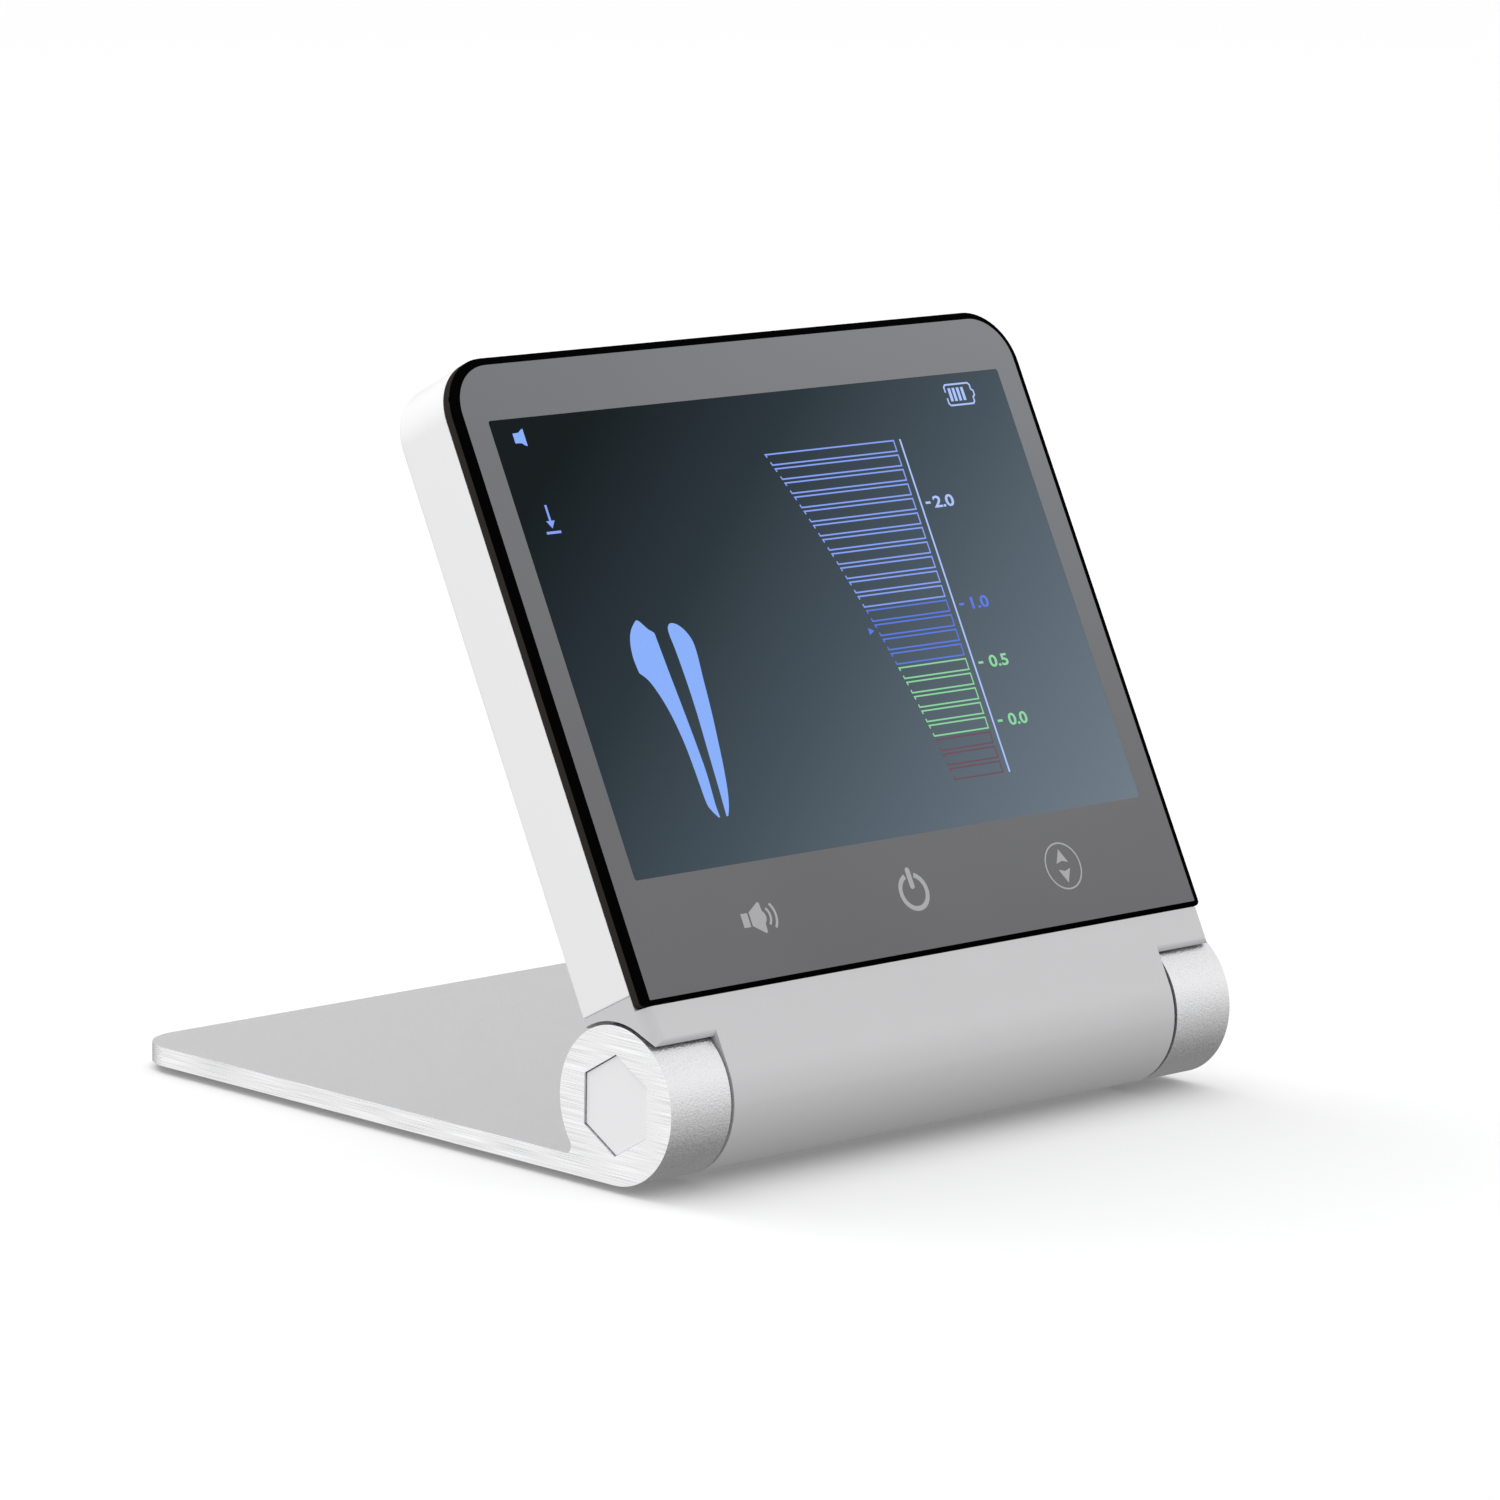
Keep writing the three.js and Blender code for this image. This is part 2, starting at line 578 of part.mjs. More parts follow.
// The charging socket: a flat shell with round ends, with a tongue inside.
function usbSocket() {
  const { v, n, halfLong, halfThick, inner } = USB;
  const wall = 0.35;
  const outline = (inset) => roundedRectangle(-n - halfThick + inset, -n + halfThick - inset,
    v - halfLong + inset, v + halfLong - inset, 1.5 - inset, 1.5 - inset);
  const shell = sweepX(outline(0), inner, UNIT.halfWidth - 0.6, 3);
  const tongue = block(inner + 0.5, UNIT.halfWidth - 1.6, v - 3.3, v + 3.3, n - 0.35, n + 0.35);
  return join(cut(shell, sweepX(outline(wall), inner + 1, UNIT.halfWidth, 3)), tongue);
}

function batteryCell() {
  const nub = barX(CELL.nub, CELL.half - 0.5, CELL.half + CELL.nubHeight);
  return join(barX(CELL.radius, -CELL.half, CELL.half, 0, 0, 32), nub);
}

const CONTACTS = [['positive', 1, CELL.half + CELL.nubHeight + 0.2], ['negative', -1, CELL.half + 0.3]];

// A contact plate with a tab that a lead is soldered to.
function batteryContact(sign, near) {
  const limits = span(sign, near, near + CONTACT.sheet);
  const tab = block(...limits, 0, CONTACT.tabReach, CONTACT.tabLow, CONTACT.tabHigh);
  return join(barX(CONTACT.radius, ...limits), tab);
}

// A lead from a contact to the lower edge of the board, through the slot between barrel and casing.
function batteryLead(sign, near) {
  const y = -WIRE.n;
  const besideCell = Math.sqrt((CELL.radius + WIRE.radius + 0.2) ** 2 - WIRE.n ** 2);
  const route = new THREE.CatmullRomCurve3([
    new THREE.Vector3(sign * (near - 0.1), y, besideCell),
    new THREE.Vector3(sign * 14, y, besideCell),
    new THREE.Vector3(sign * 9, y, besideCell + 0.1),
    new THREE.Vector3(sign * 6, y, besideCell + 2),
    new THREE.Vector3(sign * 5, y, 12),
    new THREE.Vector3(sign * 5, -3.2, 17),
    new THREE.Vector3(sign * 5, -1.9, BOARD.bottom - 0.8),
  ]);
  const section = regularPolygon(6, WIRE.radius);
  const options = { steps: 20, bevelEnabled: false, extrudePath: route };
  return toSolid(new THREE.ExtrudeGeometry(section, options));
}

// ---- Screen unit: hinge and fasteners -----------------------------------------------------------------

// A round bar straight out of the barrel's rear side, between two distances from the axis.
function radialBar(sign, radius, from, to) {
  const middle = (STACK.block[0] + STACK.block[1]) / 2;
  const bar = new THREE.CylinderGeometry(radius, radius, to - from, 16);
  return toSolid(bar.translate(sign * middle, (from + to) / 2, 0));
}

function hingeBlock(sign) {
  const hole = HINGE.shaftRadius + HINGE.runningGap;
  const housing = ringX(HINGE.boreRadius - 0.3, hole, ...span(sign, ...STACK.block));
  return cut(housing, radialBar(sign, BLOCK_SCREW.hole, BLOCK_SCREW.depth, HINGE.radius));
}

function blockScrew(sign) {
  const { shank, head, depth, seat } = BLOCK_SCREW;
  const headTop = HINGE.radius - 0.15;
  return join(radialBar(sign, shank, depth + 0.3, seat + 0.2), radialBar(sign, head, seat, headTop));
}

function caseScrew(x, v) {
  const headTop = UNIT.back + 0.1;
  const headEnd = headTop + SCREWS.headHeight - 0.1;
  const { slotHalf, slotReach, slotDepth } = SCREWS;
  const floor = headTop + slotDepth;
  const slotUp = block(x - slotHalf, x + slotHalf, v - slotReach, v + slotReach, headTop - 1, floor);
  const slotAcross = block(x - slotReach, x + slotReach, v - slotHalf, v + slotHalf, headTop - 1, floor);
  const head = barN(SCREWS.head, headTop, headEnd, x, v);
  return cut(join(head, barN(SCREWS.shank, headEnd - 0.2, SCREWS.end, x, v)), slotUp, slotAcross);
}

function coverScrew(sign) {
  const seat = SEAM_TOP + UNIT.wall + 0.3;
  const { head, headHeight, shank, length } = COVER_SCREW;
  const joined = seat + 0.2;
  return join(
    coverScrewBar(sign, head, seat, seat + headHeight),
    coverScrewBar(sign, shank, joined - length, joined),
  );
}

function addCasing(unit) {
  unit.add(piece('rear_shell', rearShell(), 'whitePlastic'));
  unit.add(piece('lower_cover', lowerCover(), 'coverPlastic'));
  unit.add(piece('lens', lens(), 'glass'));
  unit.add(piece('lens_tape', lensTape(), 'tape'));
}

function addElectronics(unit) {
  const { halfWidth, bottom, top, n0, n1 } = BOARD;
  const board = block(-halfWidth, halfWidth, bottom, top, n0, n1);
  const onBoard = ({ x0, x1, v0, v1 }) => block(x0, x1, v0, v1, CHIP_TOP, n0 - 0.1);
  const touchFilm = block(-TOUCH.halfWidth, TOUCH.halfWidth, TOUCH.v0, TOUCH.v1, TOUCH.n0, TOUCH.n1);
  unit.add(piece('mid_frame', midFrame(), 'blackPlastic'));
  unit.add(piece('backlight', layer(PANEL.halfWidth, 0.2, CHASSIS.floor + 0.2, 6.3), 'diffuser'));
  unit.add(piece('display_panel', layer(PANEL.halfWidth, 0, 6.6, 8.1), 'screen'));
  unit.add(piece('display_flex', displayFlex(), 'film'));
  unit.add(piece('touch_film', touchFilm, 'film'));
  unit.add(piece('main_board', board, 'board'));
  unit.add(piece('processor', onBoard(PROCESSOR), 'chip'));
  unit.add(piece('shield_can', onBoard(SHIELD), 'nickel'));
  unit.add(piece('speaker', speaker(), 'blackPlastic'));
  unit.add(piece('lead_socket', leadSocket(), 'blackPlastic'));
  unit.add(piece('usb_socket', usbSocket(), 'nickel'));
}

function addBattery(unit) {
  const wires = { positive: 'redWire', negative: 'blackWire' };
  unit.add(piece('battery_cell', batteryCell(), 'cellWrap'));
  CONTACTS.forEach(([pole, sign, near]) => {
    unit.add(piece(`battery_contact_${pole}`, batteryContact(sign, near), 'nickel'));
    unit.add(piece(`battery_lead_${pole}`, batteryLead(sign, near), wires[pole]));
  });
}

function addFasteners(unit) {
  SIDES.forEach(([side, sign]) => {
    unit.add(piece(`hinge_block_${side}`, hingeBlock(sign), 'steel'));
    unit.add(piece(`block_screw_${side}`, blockScrew(sign), 'steel'));
    unit.add(piece(`cover_screw_${side}`, coverScrew(sign), 'steel'));
  });
  CORNER_SCREWS.forEach(([place, x, v]) =>
    unit.add(piece(`case_screw_${place}`, caseScrew(x, v), 'steel')));
}

function makeScreenUnit() {
  const unit = new THREE.Group();
  addCasing(unit);
  addElectronics(unit);
  addBattery(unit);
  addFasteners(unit);
  unit.rotation.x = -THREE.MathUtils.degToRad(HINGE.recline);
  return unit;
}

// ---- Whole object -------------------------------------------------------------------------------------

const group = new THREE.Group();
group.add(makeStand(), makeScreenUnit());
group.position.set(0, -MIDDLE_Y, AXIS_HEIGHT);

export default group;
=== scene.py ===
import json
import math

import bmesh
import bpy
from mathutils import Matrix, Vector


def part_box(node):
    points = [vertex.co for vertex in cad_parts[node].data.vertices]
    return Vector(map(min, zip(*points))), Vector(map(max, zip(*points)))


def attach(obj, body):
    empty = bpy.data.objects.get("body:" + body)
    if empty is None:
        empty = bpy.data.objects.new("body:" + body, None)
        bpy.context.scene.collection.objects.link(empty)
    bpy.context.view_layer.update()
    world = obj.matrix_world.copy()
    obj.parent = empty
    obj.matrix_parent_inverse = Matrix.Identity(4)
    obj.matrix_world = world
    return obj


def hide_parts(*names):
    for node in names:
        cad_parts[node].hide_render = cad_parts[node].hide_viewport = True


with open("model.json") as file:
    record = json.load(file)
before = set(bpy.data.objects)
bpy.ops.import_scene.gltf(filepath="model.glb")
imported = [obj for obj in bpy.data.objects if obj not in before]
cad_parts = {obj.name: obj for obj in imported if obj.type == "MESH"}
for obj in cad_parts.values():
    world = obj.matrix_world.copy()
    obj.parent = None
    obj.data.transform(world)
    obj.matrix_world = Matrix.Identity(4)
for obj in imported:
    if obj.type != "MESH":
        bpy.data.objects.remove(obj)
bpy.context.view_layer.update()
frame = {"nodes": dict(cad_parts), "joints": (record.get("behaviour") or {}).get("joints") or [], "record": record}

# ---- Driving dimensions, in millimetres ---------------------------------------------------------------
# The stand is drawn from the hinge axis. The screen unit is drawn upright, then leaned back: x across,
# v up from the hinge axis, n out of the screen from the hinge axis.

MM = 0.001
HINGE_POINT = Vector(frame["joints"][0]["pos_m"])
RECLINE = math.radians(27.3)

RADIUS = 10.0             # barrel and knuckles
BARREL_END = 39.7         # half length of the barrel
BARREL_BORE = 8.3
KNUCKLE_IN = 40.25        # inner face of each knuckle
STAND_HALF = 50.35        # half width
PLATE_THICKNESS = 2.5
PLATE_REAR = 93.7         # rear edge, behind the hinge axis
PLATE_CORNER = 7.0
EDGE_BREAK = 0.2          # the bright broken edge of the aluminium
PLUG_RADIUS = 6.35
PLUG_INSET = 0.3
PLUG_GAP = 0.06           # round the plug, in its hole
SLACK = 0.001             # how far a cutting outline stands clear of what it keeps
FOOT_RADIUS = 2.5
FOOT_ROUNDING = 0.35

UNIT_HALF = 50.27
UNIT_TOP = 94.05
UNIT_BACK = -1.5          # n of the back face
UNIT_RIM = 8.45           # n of the casing's front rim
SEAM = 11.45              # v of the joint line between casing and lower cover
SEAM_GAP = 0.025
CORNER_TOP = 7.5
CORNER_BOTTOM = 0.7
WALL = 1.5
BACK_ROUNDING = 1.2
TRAY_FLOOR = 0.0          # n of the casing's inside

COVER_FACE = 10.0         # n of the flat front, level with the barrel
COVER_TOP = 9.45          # v of its upper edge, under the lens
HOOD_BOTTOM = 4.4
HOOD_RADIUS = 10.45
HOOD_ROUNDING = 1.0
SIDE_ROUNDING = 2.0

LENS_HALF = 50.34
LENS_BOTTOM = 9.6
LENS_BACK = 8.6
LENS_SIDE = 9.73
LENS_FACE = 10.32
LENS_BEVEL = 1.35         # at the sides, with these shares of it at the top and the bottom
BEVEL_TOP_SHARE = 0.85
BEVEL_LOW_SHARE = 0.4
GLOSS = 0.05              # specular level of the lens: low, as anti-glare glass is
WINDOW = (-45.3, 45.3, 25.1, 85.6)               # the display: x limits, then v limits

SCREW_X = 43.6
SCREW_ROWS = (("low", 26.0), ("high", 85.5))
SPEAKER_PLACE = (-27.0, 18.6)
SOUND_HOLE = {"radius": 0.6, "pitch": 2.4}
CASE_SCREW = {"top": UNIT_BACK + 0.1, "end": 3.3, "head": 1.8, "height": 0.8, "shank": 0.8}
BLOCK_SCREW = {"top": -RADIUS + 0.15, "end": -4.6, "head": 1.5, "height": 0.5, "shank": 0.75}
SCREW_GAP = 0.2           # round a head in its seat and a shank in its hole
USB = {"v": 34.0, "n": 2.1, "long": 4.47, "thick": 1.63, "inner": 41.4, "mouth": 49.67}
TONGUE = {"long": 3.3, "thick": 0.35}             # half sizes, inside the charging socket
LEAD = {"v": 17.4, "n": 3.6, "hole": 1.8, "collar": 2.9, "half": 3.2, "inner": 36.5, "mouth": 50.07}
BLOCK_SCREW_X = 35.375

TO_STAND = Matrix.Translation(HINGE_POINT) @ Matrix.Scale(MM, 4)
TO_UNIT = Matrix.Translation(HINGE_POINT) @ Matrix.Rotation(-RECLINE, 4, "X") @ Matrix.Scale(MM, 4)


# ---- Node materials -----------------------------------------------------------------------------------

def new_material(name, colour, roughness, metallic=0.0, **extra):
    """A principled material. extra holds further sockets, written with _ for a space."""
    material = bpy.data.materials.new(name)
    material.use_nodes = True
    shader = material.node_tree.nodes["Principled BSDF"]
    shader.inputs["Base Color"].default_value = (*colour, 1)
    shader.inputs["Roughness"].default_value = roughness
    shader.inputs["Metallic"].default_value = metallic
    for socket, value in extra.items():
        shader.inputs[socket.replace("_", " ")].default_value = value
    return material


def add_node(material, kind, inputs=None, **settings):
    """A shader node. inputs holds values, or sockets to link from. settings are the node's own fields."""
    node = material.node_tree.nodes.new(kind)
    for key, value in settings.items():
        setattr(node, key, value)
    for key, value in (inputs or {}).items():
        if isinstance(value, bpy.types.NodeSocket):
            material.node_tree.links.new(value, node.inputs[key])
        else:
            node.inputs[key].default_value = value
    return node


def shader_of(material):
    return material.node_tree.nodes["Principled BSDF"]


def noise(material, scale, stretch=(1, 1, 1), detail=2.0):
    """Noise in the row frame's metres. stretch above 1 packs it closer along that axis."""
    where = add_node(material, "ShaderNodeTexCoord")
    mapping = add_node(material, "ShaderNodeMapping", {"Vector": where.outputs["Object"], "Scale": stretch})
    texture = add_node(material, "ShaderNodeTexNoise", {"Vector": mapping.outputs["Vector"], "Scale": scale,
                                                        "Detail": detail})
    return texture.outputs["Fac"]


def spread(material, value, low, high):
    """The noise's middle range mapped to low..high."""
    node = add_node(material, "ShaderNodeMapRange", {"Value": value, "From Min": 0.3, "From Max": 0.7,
                                                     "To Min": low, "To Max": high})
    return node.outputs["Result"]


def link(material, value, socket):
    material.node_tree.links.new(value, shader_of(material).inputs[socket])


def add_bump(material, height, strength, depth):
    bump = add_node(material, "ShaderNodeBump", {"Height": height, "Strength": strength, "Distance": depth})
    link(material, bump.outputs["Normal"], "Normal")


def vary_colour(material, value, dark, light):
    """The base colour mixed from two colours by a value."""
    mix = add_node(material, "ShaderNodeMix", data_type="RGBA")
    material.node_tree.links.new(value, mix.inputs["Factor"])
    mix.inputs[6].default_value = (*dark, 1)
    mix.inputs[7].default_value = (*light, 1)
    link(material, mix.outputs[2], "Base Color")


def plastic(name, colour, roughness=0.38, grain=0.08, scale=5200):
    """Moulded plastic: a very fine sparked texture and a slight unevenness of gloss."""
    material = new_material(name, colour, roughness)
    add_bump(material, noise(material, scale), grain, 0.00002)
    link(material, spread(material, noise(material, 180), roughness - 0.04, roughness + 0.05), "Roughness")
    return material


def ink_and_painted_reflection(name, colour, light):
    """Ink with a painted reflection: even, and a little lighter towards the top, most of all on the right."""
    material = new_material(name, colour, 0.1, Specular_IOR_Level=GLOSS)
    where = add_node(material, "ShaderNodeTexCoord")
    parts = add_node(material, "ShaderNodeSeparateXYZ", {"Vector": where.outputs["Object"]})
    low_z = (TO_UNIT @ unit_point(0, LENS_BOTTOM, LENS_FACE)).z
    high_z = (TO_UNIT @ unit_point(0, UNIT_TOP, LENS_FACE)).z
    up = add_node(material, "ShaderNodeMapRange", {"Value": parts.outputs["Z"], "From Min": low_z,
                                                   "From Max": high_z})
    across = add_node(material, "ShaderNodeMapRange", {
        "Value": parts.outputs["X"], "From Min": -LENS_HALF * MM, "From Max": LENS_HALF * MM, "To Min": 0.5})
    # Painted reflection: lighter towards the top, and most of all on the right.
    painted_reflection_share = add_node(material, "ShaderNodeMath", {0: up.outputs["Result"], 1: across.outputs["Result"]},
                    operation="MULTIPLY")
    cloud = spread(material, noise(material, 25), -0.06, 0.06)
    total = add_node(material, "ShaderNodeMath", {0: painted_reflection_share.outputs[0], 1: cloud}, operation="ADD")
    vary_colour(material, total.outputs[0], colour, light)
    return material


EVEN = (1, 1, 1)          # stretch of marks that run no particular way


def metal(name, colour, roughness, stretch, scale, depth, strength=0.3, contrast=0.07, detail=3.0):
    """Metal whose surface marks follow stretch: even for blasted, long and thin for brushed."""
    material = new_material(name, colour, roughness, 1.0)
    marks = noise(material, scale, stretch, detail)
    add_bump(material, marks, strength, depth)
    link(material, spread(material, marks, roughness - 0.07, roughness + 0.1), "Roughness")
    dark = tuple(c * (1 - contrast) for c in colour)
    vary_colour(material, spread(material, marks, 0.0, 1.0), dark, colour)
    return material


def glow(name, colour):
    """A lit stretch of the display, with the slight unevenness of a fine pixel pitch."""
    material = new_material(name, (0.002, 0.002, 0.002), 0.1, Specular_IOR_Level=GLOSS)
    shader = shader_of(material)
    shader.inputs["Emission Color"].default_value = (*colour, 1)
    pixels = spread(material, noise(material, 9000), 0.95, 1.05)
    link(material, pixels, "Emission Strength")
    return material


def picture_material():
    """The display's dark picture: nearly black at its top left, grey-blue at its bottom right."""
    material = new_material("display_picture", (0.001, 0.001, 0.001), 0.1, Specular_IOR_Level=GLOSS)
    shader = shader_of(material)
    where = add_node(material, "ShaderNodeTexCoord")
    parts = add_node(material, "ShaderNodeSeparateXYZ", {"Vector": where.outputs["Object"]})
    left, right = WINDOW[0] * MM, WINDOW[1] * MM
    low_z = (TO_UNIT @ unit_point(0, WINDOW[2], LENS_FACE)).z
    high_z = (TO_UNIT @ unit_point(0, WINDOW[3], LENS_FACE)).z
    across = add_node(material, "ShaderNodeMapRange", {"Value": parts.outputs["X"], "From Min": left,
                                                       "From Max": right, "To Max": 0.55})
    down = add_node(material, "ShaderNodeMapRange", {"Value": parts.outputs["Z"], "From Min": high_z,
                                                     "From Max": low_z, "To Max": 0.45})
    total = add_node(material, "ShaderNodeMath", operation="ADD")
    links = material.node_tree.links
    links.new(across.outputs["Result"], total.inputs[0])
    links.new(down.outputs["Result"], total.inputs[1])
    ramp = add_node(material, "ShaderNodeValToRGB", {"Fac": total.outputs[0]})
    first, last = ramp.color_ramp.elements
    first.position = 0.1
    first.color = (0.0, 0.004, 0.006, 1)
    last.color = (0.154, 0.195, 0.240, 1)
    ramp.color_ramp.elements.new(0.33).color = (0.0165, 0.029, 0.039, 1)
    ramp.color_ramp.elements.new(0.56).color = (0.055, 0.079, 0.101, 1)
    links.new(ramp.outputs["Color"], shader.inputs["Emission Color"])
    shader.inputs["Emission Strength"].default_value = 1.0
    return material


# ---- Outlines -----------------------------------------------------------------------------------------

def arc(cx, cy, radius, start, end, steps):
    """Points on an arc, angles in degrees, both ends included."""
    angles = [math.radians(start + (end - start) * i / steps) for i in range(steps + 1)]
    return [(cx + radius * math.cos(a), cy + radius * math.sin(a)) for a in angles]


def rectangle(x0, x1, y0, y1):
    return [(x0, y0), (x1, y0), (x1, y1), (x0, y1)]


def rounded_rectangle(x0, x1, y0, y1, lower, upper, steps):
    """A rectangle with its own corner radius at its lower and at its upper corners."""
    return (arc(x0 + lower, y0 + lower, lower, 180, 270, steps)
            + arc(x1 - lower, y0 + lower, lower, 270, 360, steps)
            + arc(x1 - upper, y1 - upper, upper, 0, 90, steps)
            + arc(x0 + upper, y1 - upper, upper, 90, 180, steps))


def circle(cx, cy, radius, count=32):
    return arc(cx, cy, radius, 0, 360 - 360 / count, count - 1)


def smooth(points):
    """A smooth open stretch through a few points (Catmull-Rom)."""
    steps = 6
    padded = [points[0], *points, points[-1]]
    result = []
    for before, start, end, after in zip(padded, padded[1:], padded[2:], padded[3:]):
        for i in range(steps):
            t = i / steps
            result.append(tuple(
                0.5 * (2 * s + (e - b) * t + (2 * b - 5 * s + 4 * e - a) * t ** 2
                       + (3 * s - b - 3 * e + a) * t ** 3)
                for b, s, e, a in zip(before, start, end, after)))
    return [*result, points[-1]]


def unit_point(x, v, n):
    return Vector((x, -n, v))


# ---- Bodies -------------------------------------------------------------------------------------------

def add_loft(bm, rings, closed=False):
    """Faces through rings of equal counts: capped at both ends, or joined end to end when closed."""
    loops = [[bm.verts.new(point) for point in ring] for ring in rings]
    pairs = list(zip(loops, loops[1:])) + ([(loops[-1], loops[0])] if closed else [])
    for near, far in pairs:
        for i in range(len(near)):
            j = (i + 1) % len(near)
            bm.faces.new((near[i], near[j], far[j], far[i]))
    if not closed:
        bm.faces.new(list(reversed(loops[0])))
        bm.faces.new(loops[-1])


def make_object(name, bm, space):
    """A mesh object from a bmesh drawn in millimetres in the stand's or the unit's directions."""
    bmesh.ops.recalc_face_normals(bm, faces=bm.faces)
    mesh = bpy.data.meshes.new(name)
    bm.to_mesh(mesh)
    bm.free()
    mesh.transform(space)
    obj = bpy.data.objects.new(name, mesh)
    bpy.context.scene.collection.objects.link(obj)
    return obj


def lofted(name, rings, space, closed=False):
    bm = bmesh.new()
    add_loft(bm, rings, closed)
    return make_object(name, bm, space)


def prism_x(name, outline, x0, x1, space):
    """A side outline (y, z) swept along x."""
    return lofted(name, [[Vector((x, y, z)) for y, z in outline] for x in (x0, x1)], space)


def prism_z(name, outline, z0, z1, space):
    """A plan outline (x, y) swept up along z."""
    return lofted(name, [[Vector((x, y, z)) for x, y in outline] for z in (z0, z1)], space)


def prism_n(name, outline, n0, n1):
    """A front outline (x, v) swept out of the screen."""
    return lofted(name, [[unit_point(x, v, n) for x, v in outline] for n in (n0, n1)], TO_UNIT)


def box(name, x0, x1, y0, y1, z0, z1, space):
    return prism_z(name, rectangle(x0, x1, y0, y1), z0, z1, space)


def bake(obj):
    """Applies the object's modifiers to its mesh."""
    evaluated = obj.evaluated_get(bpy.context.evaluated_depsgraph_get())
    mesh = bpy.data.meshes.new_from_object(evaluated)
    obj.modifiers.clear()
    obj.data = mesh


def combine(obj, operation, *tools):
    """Cuts, joins or intersects the object with others, which are used up."""
    for tool in tools:
        modifier = obj.modifiers.new(operation, "BOOLEAN")
        modifier.operation = operation
        modifier.solver = "EXACT"
        modifier.object = tool
        bpy.context.view_layer.update()
        bake(obj)
        bpy.data.objects.remove(tool)


def clean(obj):
    """Joins the slivers that cutting leaves and merges flat faces, so that edges bevel evenly."""
    bm = bmesh.new()
    bm.from_mesh(obj.data)
    bmesh.ops.remove_doubles(bm, verts=bm.verts, dist=0.004 * MM)
    bmesh.ops.dissolve_limit(bm, angle_limit=math.radians(0.6), verts=bm.verts, edges=bm.edges)
    bmesh.ops.recalc_face_normals(bm, faces=bm.faces)
    bm.to_mesh(obj.data)
    bm.free()


def weigh_edges(obj, angle, share, is_full):
    """Gives the sharp edges a bevel weight: 1 where is_full holds at both ends, and share elsewhere."""
    bm = bmesh.new()
    bm.from_mesh(obj.data)
    weight = bm.edges.layers.float.new("bevel_weight_edge")
    for edge in bm.edges:
        if edge.is_manifold and edge.calc_face_angle() > math.radians(angle):
            edge[weight] = 1.0 if all(is_full(vert.co) for vert in edge.verts) else share
    bm.to_mesh(obj.data)
    bm.free()


def break_edges(obj, width, segments=2, angle=32, material=-1, limit="ANGLE"):
    """Rounds every edge sharper than angle, or by its weight, and shades the rest smooth."""
    bevel = obj.modifiers.new("edges", "BEVEL")
    bevel.width = width * MM
    bevel.segments = segments
    bevel.limit_method = limit
    bevel.angle_limit = math.radians(angle)
    bevel.miter_outer = "MITER_ARC"
    bevel.use_clamp_overlap = True
    bevel.material = material
    bevel.harden_normals = True
    shade(obj, angle)


def shade(obj, angle=32):
    for polygon in obj.data.polygons:
        polygon.use_smooth = True
    obj.data.set_sharp_from_angle(angle=math.radians(angle))


def place(obj, body, slot, materials, *nodes):
    """Gives the piece its materials and its body, and hides the CAD nodes that it stands for; its slot is not
    used.
    """
    obj.data.materials.clear()
    for material in materials:
        obj.data.materials.append(material)
    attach(obj, body)
    if nodes:
        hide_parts(*nodes)


def paint(obj, index, test):
    """Uses material number index on the faces that pass the test of centre and normal."""
    for polygon in obj.data.polygons:
        if test(polygon.center, polygon.normal):
            polygon.material_index = index


SIDES = (("left", -1), ("right", 1))


def span(sign, near, far):
    """Limits along x on one side, in rising order."""
    return (near, far) if sign > 0 else (-far, -near)


# ---- Stand --------------------------------------------------------------------------------------------

def stand_outline():
    plate_top = PLATE_THICKNESS - RADIUS
    fillet = 1.0
    fillet_z = plate_top + fillet
    fillet_y = math.sqrt((RADIUS + fillet) ** 2 - fillet_z ** 2)
    contact = math.degrees(math.atan2(fillet_z, fillet_y))
    knuckle = arc(0, 0, RADIUS, contact, 270, 96)
    return ([*knuckle, (PLATE_REAR, -RADIUS), (PLATE_REAR, plate_top)]
            + arc(fillet_y, fillet_z, fillet, 270, contact + 180, 10)[:-1])


def hexagon(radius):
    return arc(0, 0, radius, 90, 390, 5)


